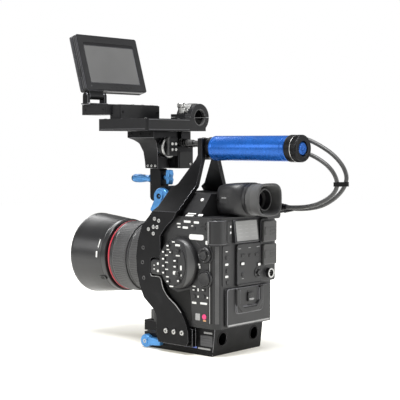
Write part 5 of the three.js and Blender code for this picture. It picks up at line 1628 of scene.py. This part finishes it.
@dataclass
class Viewfinder(Assembly):
    """The tilting viewfinder: a blocky front that becomes a round tube, with its eyecup, lens and dial."""

    height: float = 184.7
    radius: float = 20.0
    around: int = 112

    def build(self) -> None:
        """Makes the body, then what stands on it."""
        self.shell()
        self.eyecup()
        self.eyepiece()
        self.dioptre()

    def ring(self, y: float, middle: tuple[float, float], half: tuple[float, float], power: float) -> Floats:
        """One section across the viewfinder's axis: a superellipse about a middle, in metres."""
        t = np.linspace(0, 2 * math.pi, self.around, endpoint=False)
        c, s = superellipse(t, np.full_like(t, power))
        return np.stack([middle[0] + half[0] * c, np.full_like(t, y), middle[1] + half[1] * s], 1) * MM

    def shell(self) -> None:
        """The skin: each row's middle, half sizes and power change from a rounded block to a circle."""
        z, r = self.height, self.radius
        rows = [(38.3, (2, z - 1.4), (15, 14.5), 3.4), (38.9, (2, z - 1.3), (18.6, 16.8), 3.8),
            (40.8, (2, z - 1.1), (20.6, 17.9), 4.2), (46, (2, z - 0.7), (22.2, 18.9), 4.4),
            (58, (2, z - 0.2), (22.8, 19.5), 4.2), (66, (1.8, z), (22.4, 19.7), 3.8),
            (70, (1.2, z), (21.2, 19.8), 3.2), (73, (0.5, z), (20.4, 19.9), 2.5),
            (74.6, (0, z), (20, 20), 2.0), (75.0, (0, z), (19.3, 19.3), 2.0),
            (76.0, (0, z), (19.3, 19.3), 2.0), (76.4, (0, z), (20, 20), 2.0), (79.4, (0, z), (20, 20), 2.0),
            (79.9, (0, z), (19.4, 19.4), 2.0), (79.9, (0, z), (14.2, 14.2), 2.0),
            (62.0, (0, z), (14.2, 14.2), 2.0)]
        skin = lofted("viewfinder_shell", np.stack([self.ring(*row) for row in rows]), sharp=46)
        self.fit(skin, BODY_PLASTIC, "viewfinder", ["viewfinder_body"])
        face = left_plane(24.5)
        self.fit(slab("viewfinder_badge", face, between((46.5, 60), (179.5, 189), 2.2), -0.6, 0.4, 0.3),
            CONTROL_PLASTIC, "viewfinder")
        dash = between((49.5, 56.5), (186.0, 187.0), 0.3)
        self.fit(slab("viewfinder_mark", face, dash, 0.35, 0.48, 0.05), GREY_PRINT_AND_HIGHLIGHT, "viewfinder")
        for side, reach in ((Side.LEFT, 23.0), (Side.RIGHT, 17.5)):
            self.screw(f"viewfinder_pivot_{side.value}", side.plane(reach).moved(42.5, self.height), 2.4, 1.0,
                BLACK_METAL, "viewfinder", sink=2)

    def eyecup(self) -> None:
        """The rubber eyecup: rings that run out along its outside, over the lip and back down its hollow."""
        z, start = self.height, 80.35
        rows = [(start, (14.4, 14.4), 2.0), (start, (19.2, 18.4), 2.2), (start + 1.4, (20.6, 18.9), 2.5),
            (start + 5.5, (20.9, 18.4), 2.7), (start + 7.2, (20.4, 17.8), 2.8),
            (start + 8.8, (20.9, 18.2), 2.8), (start + 14, (22.1, 18.9), 3.0),
            (start + 19.5, (23, 19.5), 3.2), (start + 21.6, (22.9, 19.4), 3.2),
            (start + 22.4, (22.2, 18.7), 3.2), (start + 22.2, (21.1, 17.6), 3.2),
            (start + 20, (20.2, 16.8), 3.2), (start + 11, (19.0, 15.6), 3.2),
            (start + 7.4, (17.4, 14.2), 3.0), (start + 6.8, (15.6, 12.9), 2.8),
            (start + 6.2, (12.4, 11.8), 2.2), (start + 5.0, (11.6, 11.6), 2.0),
            (start + 1.8, (11.6, 11.6), 2.0)]
        rings = np.stack([self.ring(y, (0, z), half, power) for y, half, power in rows])
        self.fit(lofted("eyecup_rubber", rings, closed=True, sharp=60), SOFT_RUBBER, "viewfinder", ["eyecup"])
        axis = rear_plane(0).moved(0, z)
        tube = turned("eyepiece_tube", axis, ring_profile(11.7, 13.6, 86.7, 94.4, 0.6), 72, closed=True)
        self.fit(tube, CONTROL_PLASTIC, "viewfinder")
        rim = turned("eyepiece_rim", axis, ring_profile(11.7, 12.8, 94.1, 94.9, 0.25), 72, closed=True)
        self.fit(rim, PALE_PLASTIC_AND_HIGHLIGHT, "viewfinder")
        # the dark band fills the joint with a painted shade; the two pale bands are painted highlights on the
        # ridge and the lip
        self.hoop("eyecup_joint", 79.95, 80.3, (18.4, 17.8), 2.1, PAINTED_SHADE)
        self.hoop("eyecup_ridge", start + 1.7, start + 2.7, (20.95, 19.1), 2.55, PALE_PLASTIC_AND_HIGHLIGHT)
        self.hoop("eyecup_lip", start + 21.2, start + 22.0, (23.15, 19.6), 3.2, PALE_PLASTIC_AND_HIGHLIGHT)

    def hoop(self, name: str, start: float, end: float, half: tuple[float, float], power: float,
            finish: Finish) -> None:
        """A thin band round the viewfinder: a closed section 1.2 mm deep, carried round a superellipse.

        Args:
            name: the piece's name.
            start: where it starts along Y.
            end: where it ends.
            half: its half width and half height.
            power: the superellipse's power.
            finish: its finish.
        """
        inner = (half[0] - 1.2, half[1] - 1.2)
        rows = [(start, inner), (start, half), (end, half), (end, inner)]
        rings = np.stack([self.ring(y, (0, self.height), size, power) for y, size in rows])
        self.fit(lofted(name, rings, closed=True), finish, "viewfinder")

    def eyepiece(self) -> None:
        """The eyepiece lens: a domed disc of glass in a dark cell."""
        t = np.linspace(0, 1, 12)
        dome = np.column_stack([10.0 * (1 - t), 81.0 - 0.9 * (1 - t) ** 2 * 2 + 0.9])
        profile = np.vstack([[[0, 74.6], [13.4, 74.6], [13.4, 79.4], [12.6, 79.9], [10.2, 79.3]], dome])
        glass = turned("eyepiece_glass", rear_plane(0).moved(0, self.height), profile, 80)
        self.fit(glass, LENS_GLASS, "viewfinder", ["eyepiece_lens"])

    def dioptre(self) -> None:
        """The fluted dioptre dial with its slot."""
        low, high = low_high("dioptre_dial")
        middle = (low + high) / 2
        plane = right_plane(high[0]).moved(middle[1], middle[2])
        profile = softened([[0, 0], [4.9, 0], [4.9, 2.7], [4.2, 3.5], [0, 3.3]], 0.3, 3, closed=False)
        self.fit(turned("dioptre_wheel", plane, profile, 96, knurl(24, 0.3, 0.2, 3.0)), CONTROL_PLASTIC,
            "dioptre", ["dioptre_dial"])
        self.fit(slab("dioptre_mark", plane.moved(0, 2.2, 3.2), rectangle(0.7, 2.6, 0.2), 0, 0.3, 0.1),
            WHITE_PRINT, "dioptre")


@dataclass
class ZoomLens(Assembly):
    """The zoom lens, turned about its own axis: barrel, ribbed rings, red line, front glass and hood."""

    height: float = 105.8
    hood_front: float = -184.0
    hood_rear: float = -126.0
    ribs: int = 90
    rib_depth: float = 0.35

    def build(self) -> None:
        """Makes the lens from the mount to the hood."""
        axis = rear_plane(0).moved(0, self.height)
        self.barrel(axis)
        self.rings(axis)
        self.glass(axis)
        self.hood(axis)

    def barrel(self, axis: WorkPlane) -> None:
        """The fixed barrel with its collars, its index window and its switch panel."""
        profile = [[26.7, -44.2], [32.4, -44.2], [33.2, -45.6], [38.6, -56.6], [42.6, -57.6], [43.8, -58.6],
            [43.8, -61.4], [43.2, -62.1], [39.0, -62.2], [39.0, -86.4], [43.0, -86.8], [43.6, -87.6],
            [43.6, -90.2], [43.0, -90.9], [39.4, -91.2], [39.4, -115.4], [43.6, -115.8], [44.2, -116.6],
            [44.3, -120.2], [42.6, -120.4], [42.6, -125.0], [40.4, -125.1], [40.2, -112], [26.7, -60]]
        self.fit(turned("lens_barrel_turned", axis, softened(profile, 0.35, 3), 144, closed=True),
            LENS_PLASTIC, stands_for=["lens_barrel"])
        line = ring_profile(43.7, 44.05, -60.4, -59.4, 0.1)
        self.fit(turned("lens_index_line", axis, line, 144, closed=True), GREY_METAL)
        line = ring_profile(43.5, 43.85, -89.4, -88.4, 0.1)
        self.fit(turned("lens_front_line", axis, line, 144, closed=True), PALE_PLASTIC_AND_HIGHLIGHT)
        tab = WorkPlane((30.9, -59.9, self.height + 30.9), (0, 1, 0), (-0.7071, 0, 0.7071),
            (0.7071, 0, 0.7071))
        self.fit(slab("lens_index_mark", tab, rectangle(2.2, 0.8, 0.2), -0.4, 0.5, 0.1), WHITE_PRINT)

    def rings(self, axis: WorkPlane) -> None:
        """The zoom and focus rings, with squared ribs, and the red line."""
        groove = lambda low, high: (lambda t, h: -self.rib_depth * (np.cos(self.ribs * t) > 0.35)
            * ((h > low) & (h < high)))
        zoom = [[39.35, -62.5], [43.9, -62.5], [44.3, -63.2], [44.3, -64.6], [44.5, -64.8], [44.5, -65.2],
            [44.5, -83.4], [44.5, -83.8], [44.3, -84.0], [44.3, -85.6], [43.9, -86.1], [39.35, -86.1]]
        self.fit(turned("zoom_ring_ribbed", axis, np.array(zoom[::-1]), 720, groove(-83.5, -65.1), True, 30),
            RING_RUBBER, "zoom", ["zoom_ring"])
        focus = [[39.9, -91.4], [44.4, -91.4], [44.8, -92.0], [44.8, -93.4], [44.95, -93.6], [44.95, -94.0],
            [44.95, -112.4], [44.95, -112.8], [44.8, -113.0], [44.8, -114.6], [44.4, -115.2], [39.9, -115.2]]
        self.fit(turned("focus_ring_ribbed", axis, np.array(focus[::-1]), 720, groove(-112.5, -93.9), True,
            30), RING_RUBBER, "focus", ["focus_ring"])
        red = ring_profile(42.85, 44.7, -122.6, -120.7, 0.4)
        self.fit(turned("red_ring_turned", axis, red, 160, closed=True), RED_PAINT, stands_for=["red_ring"])

    def glass(self, axis: WorkPlane) -> None:
        """The front element: a cell, and a dome that rises by a square law, forward along -Y."""
        t = np.linspace(0, 1, 20)
        dome = np.column_stack([35.0 * (1 - t), -117.2 - 5.1 * (1 - (1 - t) ** 2)])
        profile = np.vstack([[[0, -113.2], [36.3, -113.2], [39.0, -116.2], [38.4, -118.2], [35.4, -118.0]],
            dome])
        self.fit(turned("front_glass", axis, profile, 120), LENS_GLASS, stands_for=["front_element"])
        filter_ring = ring_profile(37.6, 40.3, -125.0, -118.6, 0.3)
        self.fit(turned("filter_ring", axis, filter_ring, 120, closed=True), BLACK_METAL)

    def hood(self, axis: WorkPlane) -> None:
        """The flared hood, with its rear collar, its ribbed inside and its catch."""
        f, b = self.hood_front, self.hood_rear
        outside = [[45.6, b + 0.5], [46.6, b + 0.2], [47.0, b - 0.8], [47.1, b - 6.0], [46.9, b - 6.6],
            [47.3, b - 7.2], [50.0, b - 30], [51.6, f + 12], [52.5, f + 4.2], [52.6, f + 2.2],
            [52.3, f + 0.5], [51.9, f + 0.1], [51.2, f + 0.3], [50.8, f + 1.2]]
        depth = np.linspace(0, 1, 40)
        ribs = np.column_stack([50.6 - 7.0 * depth - 0.35 * (np.arange(40) % 2),
            f + 1.6 - (f + 3.4 - b) * depth])
        inside = [[43.2, b - 3], [40.6, b - 3], [40.6, b + 0.5]]
        skin = np.vstack([softened(outside, 0.5, 3, closed=False), ribs, inside])
        self.fit(turned("hood_shell", axis, skin, 144, closed=True, sharp=35), LENS_PLASTIC, "hood",
            ["lens_hood"])
        for i, (y, z, wide, tall) in enumerate(((-137.4, 17.0, 1.3, 11.0), (-139.4, 3.2, 2.4, 8.0))):
            turn = math.asin(z / 48.2)
            place = WorkPlane((48.3 * math.cos(turn), y, self.height + 48.3 * math.sin(turn)), (0, 1, 0),
                (-math.sin(turn), 0, math.cos(turn)), (math.cos(turn), 0, math.sin(turn)))
            mark = slab(f"hood_mark_{i + 1}", place, rectangle(wide, tall, 0.4), -1.4, 0.22, 0.08)
            self.fit(mark, WHITE_PRINT, "hood")
        turn = math.radians(-35)
        catch = WorkPlane((47.6 * math.cos(turn), -137, self.height + 47.6 * math.sin(turn)), (0, 1, 0),
            (-math.sin(turn), 0, math.cos(turn)), (math.cos(turn), 0, math.sin(turn)))
        self.fit(slab("hood_catch", catch, rectangle(13, 7, 3.2, 6), -1.5, 1.0, 0.5), CONTROL_PLASTIC, "hood")
        for i in range(3):
            self.fit(slab(f"hood_catch_rib_{i + 1}", catch.moved(2.0 * (i - 1), 0), rectangle(0.8, 4.6, 0.3),
                0.9, 1.4, 0.2), CONTROL_PLASTIC, "hood")


@dataclass
class MonitorUnit(Assembly):
    """The monitor and microphone unit: its deck, the microphone cradle, the post and the screen."""

    body: str = "monitor_mount"
    hinge: tuple[float, float] = (-148.6, 311.3)
    lean: float = 16.5
    half_width: float = 55.0
    thickness: float = 12.5
    middle: float = 3.5
    deck_reach: float = 56.0
    deck_ends: tuple[float, float] = (-128.0, -42.0)
    deck_top: float = 281.5
    tall_slab_top: float = 299.0
    tall_slab_rear: float = -94.0
    cradle_axis: tuple[float, float] = (-42.0, 284.0)

    def build(self) -> None:
        """Makes the deck, the cradle, the post and the screen."""
        self.refine("monitor_base", MONITOR_PLASTIC, 1.1, 3)
        self.refine("screen_post", BLACK_METAL, 0.6)
        self.deck_details()
        self.cradle()
        self.hinge_details()
        self.screen()

    def deck_details(self) -> None:
        """Sockets, switches and screws on the deck, the tall slab and the arm."""
        left, right = (side.plane(self.deck_reach) for side in Side)
        front, rear = front_plane(self.deck_ends[0]), rear_plane(self.deck_ends[1])
        for i, x in enumerate((-30, -12, 6)):
            socket = turned(f"audio_socket_{i + 1}", front.moved(x, 274),
                ring_profile(2.7, 4.6, -0.2, 0.7, 0.3), 48, closed=True)
            self.fit(socket, SCREW_STEEL)
            well = turned(f"audio_socket_well_{i + 1}", front.moved(x, 274), disc_profile(2.7, 0, 0.25, 0.1),
                40)
            self.fit(well, CONTROL_PLASTIC)
        for name, low, high in (("upper", 279.7, 280.5), ("lower", 267.6, 268.4)):
            line = slab(f"deck_rear_line_{name}", rear, between((-22, 53), (low, high), 0.3), -0.1, 0.3, 0.12)
            self.fit(line, GREY_DARK)
        for i, y in enumerate((-58, -74, -90)):
            knob = turned(f"level_knob_{i + 1}", right.moved(y - 22, 274),
                softened([[0, -0.2], [4.4, -0.2], [4.1, 2.2], [3.3, 2.7], [0, 2.5]], 0.35, 3, closed=False),
                84, knurl(21, 0.25, 0.2, 2.3))
            self.fit(knob, CONTROL_PLASTIC)
            self.fit(slab(f"level_mark_{i + 1}", right.moved(y - 22, 280), rectangle(0.6, 1.6, 0.2), -0.05,
                0.1, 0.03), WHITE_PRINT)
        self.fit(slab("deck_side_seam", left, between((-123, -46), (268.2, 268.9), 0.3), -0.1, 0.25, 0.1),
            GREY_DARK)
        top = top_plane(self.deck_top)
        for i, (x, y) in enumerate(((50, -50), (50, -120), (-50, -120), (-10, -50))):
            self.screw(f"deck_screw_{i + 1}", top.moved(x, y), 1.9, 0.5, sink=2)
        slab_top = top_plane(self.tall_slab_top)
        self.fit(slab("slab_cap", slab_top, between((-21.5, 48.5), (-111.5, -95.5), 1.6), -0.3, 0.7, 0.4),
            BLACK_METAL)
        for i, x in enumerate((-17, 0, 18)):
            self.screw(f"slab_screw_{i + 1}", slab_top.moved(x, -103.5, 0.7), 2.2, 0.8, sink=2)
        self.fit(slab("arm_side_inlay", left, between((-154, -114), (289.6, 297.4), 1.8), -0.3, 0.45, 0.25),
            MONITOR_PLASTIC)
        for i, y in enumerate((-150, -118)):
            self.screw(f"arm_side_screw_{i + 1}", left.moved(y, 293.5, 0.3), 1.6, 0.5, BLACK_METAL, sink=2)
        rear_slab = rear_plane(self.tall_slab_rear)
        for i, x in enumerate((-18, 45)):
            self.screw(f"slab_rear_screw_{i + 1}", rear_slab.moved(x, 290.5), 1.7, 0.5, BLACK_METAL, sink=2)

    def cradle(self) -> None:
        """The microphone cradle's lid, its rubber lining, its thumbscrew and its hinge pin."""
        self.refine("mic_lid", MONITOR_PLASTIC, 0.8, 3)
        axis = rear_plane(0).moved(*self.cradle_axis)
        for name, start in (("front", -66.4), ("rear", -46.6)):
            arc = np.linspace(math.radians(6), math.radians(174), 40)
            for part, sweep, body in (("upper", arc, "mic_cap"), ("lower", arc + math.pi, self.body)):
                outer = np.stack([10.9 * np.cos(sweep), 10.9 * np.sin(sweep)], 1)
                inner = np.stack([9.6 * np.cos(sweep[::-1]), 9.6 * np.sin(sweep[::-1])], 1)
                lining = slab(f"mic_lining_{name}_{part}", axis, np.vstack([outer, inner]), start,
                    start + 4.4, 0.3)
                self.fit(lining, SOFT_RUBBER, body)
        arc = np.linspace(math.radians(20), math.radians(128), 36)
        band = np.vstack([np.stack([18.2 * np.cos(arc), 18.2 * np.sin(arc)], 1),
            np.stack([17.3 * np.cos(arc[::-1]), 17.3 * np.sin(arc[::-1])], 1)])
        self.fit(slab("mic_lid_band", axis, band, -60, -49, 0.3, 3, 0.3), GREY_METAL, "mic_cap")
        low, high = low_high("mic_thumbscrew")
        middle = (low + high) / 2
        place = top_plane(low[2]).moved(middle[0], middle[1])
        tall = high[2] - low[2]
        profile = softened([[0, 0], [1.8, 0], [1.8, 4.3], [4.0, 4.5], [4.0, 11.6], [4.9, 12.2], [5.2, 13.2],
            [5.2, tall - 1.2], [4.4, tall - 0.2], [2.4, tall - 0.2], [2.0, tall - 1.0], [0, tall - 1.0]], 0.3,
            3, closed=False)
        self.fit(turned("mic_thumbscrew_turned", place, profile, 96, knurl(24, 0.35, 12.4, tall - 0.9)),
            GREY_METAL, "mic_screw", ["mic_thumbscrew"])

    def hinge_details(self) -> None:
        """The screen hinge's two end caps."""
        y, z = self.hinge
        low, high = low_high("screen_post")
        for side, reach in ((Side.LEFT, high[0]), (Side.RIGHT, -low[0])):
            cap = turned(f"hinge_cap_{side.value}", side.plane(reach).moved(y, z),
                disc_profile(3.4, -1.2, 0.35, 0.3), 48)
            self.fit(cap, BLACK_METAL, "screen_swivel")

    def screen(self) -> None:
        """The leaning screen: its shell, a darker bezel, the glass, the side bands and the rear vents."""
        y, z = self.hinge
        turn = math.radians(self.lean)
        self.refine("screen_housing", MONITOR_PLASTIC, 1.0, 3)
        up = (0, -math.sin(turn), math.cos(turn))
        out = (0, math.cos(turn), math.sin(turn))
        face = WorkPlane((self.middle, y, z), (1, 0, 0), up, out)
        front = self.thickness / 2
        outer, inner = between((-53.6, 53.6), (7.4, 79.6), 2.2, 6), between((-45.4, 45.4), (15.6, 71.4), 1.2,
            6)
        lip = front + 0.35
        rows = ((outer, front - 0.2), (outer, lip - 0.1), (offset(outer, 0.2), lip),
            (offset(inner, -0.2), lip), (inner, lip - 0.1), (inner, front - 0.2))
        rings = np.stack([face.lift(np.column_stack([outline, np.full(len(outline), h)])) for outline,
            h in rows])
        self.fit(weigh_normals(lofted("screen_bezel", rings, closed=True)), CONTROL_PLASTIC, "screen")
        glass = between((-44.3, 44.3), (16.7, 66.5), 1.0)
        self.fit(slab("screen_glass_panel", face, glass, front - 1.2, front - 0.1, 0.15), SCREEN_GLASS,
            "screen", ["screen_panel"])
        for i in range(5):
            key = rectangle(4.6, 1.8, 0.8)
            self.fit(slab(f"screen_key_{i + 1}", face.moved(-28 + 9 * i, 11.4), key, front + 0.2, front + 0.8,
                0.25), CONTROL_PLASTIC, "screen")
        lamp = turned("screen_lamp", face.moved(46, 11.6), disc_profile(0.9, front + 0.2, front + 0.6, 0.2),
            24)
        self.fit(lamp, GREY_DARK, "screen")
        self.screen_sides(face, front)
        self.screen_back(face, front)

    def screen_sides(self, face: WorkPlane, front: float) -> None:
        """Thin bands along the two side edges, and the rails under the screen."""
        for side in Side:
            edge = WorkPlane(tuple(np.array(face.origin) + [side.sign * self.half_width, 0, 0]), face.out,
                face.up, (side.sign, 0, 0))
            for i, across in enumerate((-4.6, 1.2, 4.0)):
                band = between((across - 0.45, across + 0.45), (8.4, 78.6), 0.4)
                self.fit(slab(f"screen_band_{side.value}_{i + 1}", edge, band, -0.2, 0.3, 0.15), GREY_DARK,
                    "screen")
            socket = rectangle(3.4, 11, 1.2, centre=(0.2, 30))
            self.fit(slab(f"screen_socket_{side.value}", edge, socket, -0.2, 0.4, 0.15), CONTROL_PLASTIC,
                "screen")
        under = WorkPlane(face.origin, face.along, face.out, tuple(-np.array(face.up)))
        for i, across in enumerate((-3.4, 3.6)):
            rail = between((-50, 17), (across - 0.8, across + 0.8), 0.5)
            self.fit(slab(f"screen_rail_{i + 1}", under.moved(0, 0, -6.0), rail, -0.2, 0.5, 0.2),
                GREY_PRINT_AND_HIGHLIGHT if i else MONITOR_PLASTIC, "screen")

    def screen_back(self, face: WorkPlane, front: float) -> None:
        """A raised plate, vent slots and screws on the screen's back."""
        back = WorkPlane(face.origin, tuple(-np.array(face.along)), face.up, tuple(-np.array(face.out)))
        self.fit(slab("screen_back_plate", back, between((-44, 44), (18, 70), 3.0, 6), front - 0.3,
            front + 0.7, 0.4), MONITOR_PLASTIC, "screen")
        for i in range(8):
            self.fit(slab(f"screen_vent_{i + 1}", back.moved(-24.5 + 7 * i, 56), rectangle(3.6, 16, 1.6),
                front + 0.5, front + 1.1, 0.25), CONTROL_PLASTIC, "screen")
        for i, (u, v) in enumerate(((-40, 22), (40, 22), (-40, 66), (40, 66))):
            self.screw(f"screen_back_screw_{i + 1}", back.moved(u, v, front + 0.7), 1.6, 0.4, body="screen",
                sink=1.5)


@dataclass
class ClampHead(Assembly):
    """What carries the monitor unit: the funnel bracket, the connector block, the post, a knob and levers."""

    body: str = "monitor_mount"
    axis_y: float = -57.0
    drum_height: float = 246.0
    bracket_reach: float = 23.0
    foot_reach: float = 10.6
    block_rear: float = -54.0
    block_left: float = -14.0
    sleeve_places: tuple = ((-35, 250), (-22.5, 252))
    side_lever_height: float = 208.0
    arm_lever_height: float = 185.0

    def build(self) -> None:
        """Makes the bracket and the block, then the clamp and its blue controls."""
        self.refine("funnel_bracket", BLACK_METAL, 0.9, 3)
        self.refine("connector_block", BLACK_METAL, 0.7)
        self.refine("clamp_post", BLACK_METAL, 0.9, 3)
        self.bracket_details()
        self.connector_details()
        self.front_knob()
        self.side_lever()
        self.arm_lever()

    def bracket_details(self) -> None:
        """The drum's rims and cap on the bracket, its ribs and its fixing screws."""
        drum = rear_plane(self.axis_y).moved(0, self.drum_height)
        self.fit(turned("drum_rim", drum, ring_profile(10.6, 13.1, -1.4, 0.6, 0.4), 80, closed=True),
            GREY_METAL)
        self.fit(turned("drum_cap", drum, softened([[0, 0], [8.6, 0], [8.6, 0.8], [7.4, 1.5], [5.0, 1.1],
            [0, 0.9]], 0.4, 3, closed=False), 72), BLACK_METAL)
        self.contact_plate(drum)
        for side in Side:
            for i, y in enumerate((-101, -86, -70) if side is Side.LEFT else (-101, -86)):
                self.screw(f"bracket_screw_{side.value}_{i + 1}",
                    side.plane(self.bracket_reach).moved(y, 262.3), 1.7, 0.6, BLACK_METAL, sink=2)
        foot = left_plane(self.foot_reach)
        for i, y in enumerate((-84, -77.5, -71)):
            self.screw(f"bracket_foot_screw_{i + 1}", foot.moved(y, 222.6), 1.6, 0.7, sink=2)

    def contact_plate(self, drum: WorkPlane) -> None:
        """The upright plate over the drum's edge, with a pale side and four contacts."""
        plate = slab("contact_plate", drum, between((-12, 5.2), (-11, 12.6), 1.4), 0.9, 4.0, 0.5)
        self.fit(plate, BLACK_METAL)
        self.fit(slab("contact_plate_edge", drum, between((4.2, 6.4), (-10.4, 12.0), 0.9), 0.9, 4.3, 0.4),
            PALE_PLASTIC_AND_HIGHLIGHT)
        for i in range(4):
            place = drum.moved(-8.0 + 6.6 * (i % 2), -2.9 + 7.2 * (i // 2), 4.0)
            self.fit(turned(f"plate_contact_{i + 1}", place, disc_profile(1.9, -0.2, 0.7, 0.3), 32),
                WHITE_PRINT)

    def connector_details(self) -> None:
        """The connector block's lid, its contacts and the ribbed sleeves where the cables leave it."""
        face = rear_plane(self.block_rear)
        self.fit(slab("connector_lid", face, between((-40.5, -15.5), (220.5, 240.5), 2.0), -0.3, 0.7, 0.35),
            MONITOR_PLASTIC)
        self.screw("connector_lid_screw", face.moved(-36, 224.5, 0.7), 1.6, 0.5, sink=1)
        for i, (x, z) in enumerate(self.sleeve_places):
            run = np.linspace(0, 1, 33)
            ribs = np.column_stack([4.75 - 1.45 * run + 0.3 * np.cos(run * 10 * math.pi), -57 + 20.4 * run])
            profile = np.vstack([[[0, -57.6], [5.0, -57.6]], ribs, [[2.9, -35.8], [0, -35.7]]])
            sleeve = turned(f"cable_sleeve_{i + 1}", rear_plane(0).moved(x, z), profile, 48)
            self.fit(sleeve, SOFT_RUBBER)
        left = left_plane(self.block_left)
        self.fit(slab("connector_side_label", left, between((-76, -60), (223, 236), 1.4), -0.2, 0.25, 0.12),
            MONITOR_PLASTIC)

    def front_knob(self) -> None:
        """The long blue knob: a fluted grip, a waist and a dark end cap."""
        low, high = low_high("front_knob")
        middle = (low + high) / 2
        axis = rear_plane(0).moved(middle[0], middle[2])
        s, e = low[1], high[1]
        profile = softened([[0, s + 2.6], [3.4, s + 2.6], [4.6, s + 2.8], [5.3, s + 3.8], [5.55, s + 12],
            [4.9, s + 20], [4.3, s + 24], [4.3, s + 28.4], [4.8, s + 29.4], [5.15, s + 31.2], [4.8, s + 32.4],
            [4.3, s + 32.9], [4.3, e - 1], [3.4, e], [0, e]], 0.6, 4, closed=False)
        self.fit(turned("front_knob_grip", axis, profile, 144, knurl(16, 0.4, s + 4.4, s + 22.5)), BLUE_LEVER,
            "front_clamp", ["front_knob"])
        end = softened([[0, s + 0.1], [3.4, s + 0.1], [4.3, s + 0.9], [4.4, s + 2.7], [0, s + 2.7]], 0.4, 3,
            closed=False)
        self.fit(turned("front_knob_end", axis, end, 64), BLACK_METAL, "front_clamp")

    def side_lever(self) -> None:
        """The small blue lever behind the post: a waisted blade with a hub and a screw."""
        low, high = low_high("side_lever")
        plane = left_plane(low[0]).moved(self.axis_y, self.side_lever_height)
        blade = softened([[-2, -8.5], [2.5, -9.1], [4.3, -3], [3.0, 0], [4.3, 4], [3.0, 9.3], [-2, 9.9],
            [-2.9, 0]], [1.2, 1.2, 1.6, 1.6, 1.6, 1.2, 1.2, 2.0], 5)
        self.fit(slab("side_lever_blade", plane, blade, 0.1, high[0] - low[0] - 0.1, 1.4, 4, 1.4), BLUE_LEVER,
            "side_clamp", ["side_lever"])
        hub = turned("side_lever_hub", rear_plane(self.axis_y).moved(0, self.side_lever_height),
            disc_profile(3.0, -7, -1.5, 0.4), 40)
        self.fit(hub, BLUE_LEVER, "side_clamp")

    def arm_lever(self) -> None:
        """The blue clamp lever by the arm: an off-centre disc and tail with a dark screw in its hub."""
        low, high = low_high("arm_lever")
        plane = left_plane(low[0]).moved(self.axis_y, self.arm_lever_height).turned(-125)
        thick = high[0] - low[0]
        cam = left_plane(low[0]).moved(self.axis_y + 1.6, self.arm_lever_height - 1.4).turned(-127)
        self.fit(slab("arm_lever_blade", cam, lever_outline(11.8, 24.2, 13.4), 0.1, thick - 1.4, 1.8, 5, 0.8),
            BLUE_LEVER, "arm_clamp", ["arm_lever"])
        self.fit(turned("arm_lever_hub", plane, ring_profile(3.6, 6.6, thick - 2.6, thick - 0.1, 0.7), 64,
            closed=True), BLUE_LEVER, "arm_clamp")
        self.screw("arm_lever_screw", plane, 3.4, thick - 0.6, BLACK_METAL, "arm_clamp", sink=-4.0)


def main() -> None:
    """Loads the frame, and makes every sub-assembly."""
    logging.basicConfig(level=logging.INFO, format="%(message)s")
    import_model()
    Studio().build()
    Cables().build()
    parts = (Baseplate(), Cage(), TopHandle(), CameraBody(), Viewfinder(), ZoomLens(), MonitorUnit(),
        ClampHead())
    for part in parts:
        part.build()
        LOG.info("%s made %d pieces", type(part).__name__, part.made)


if __name__ == "__main__":
    main()
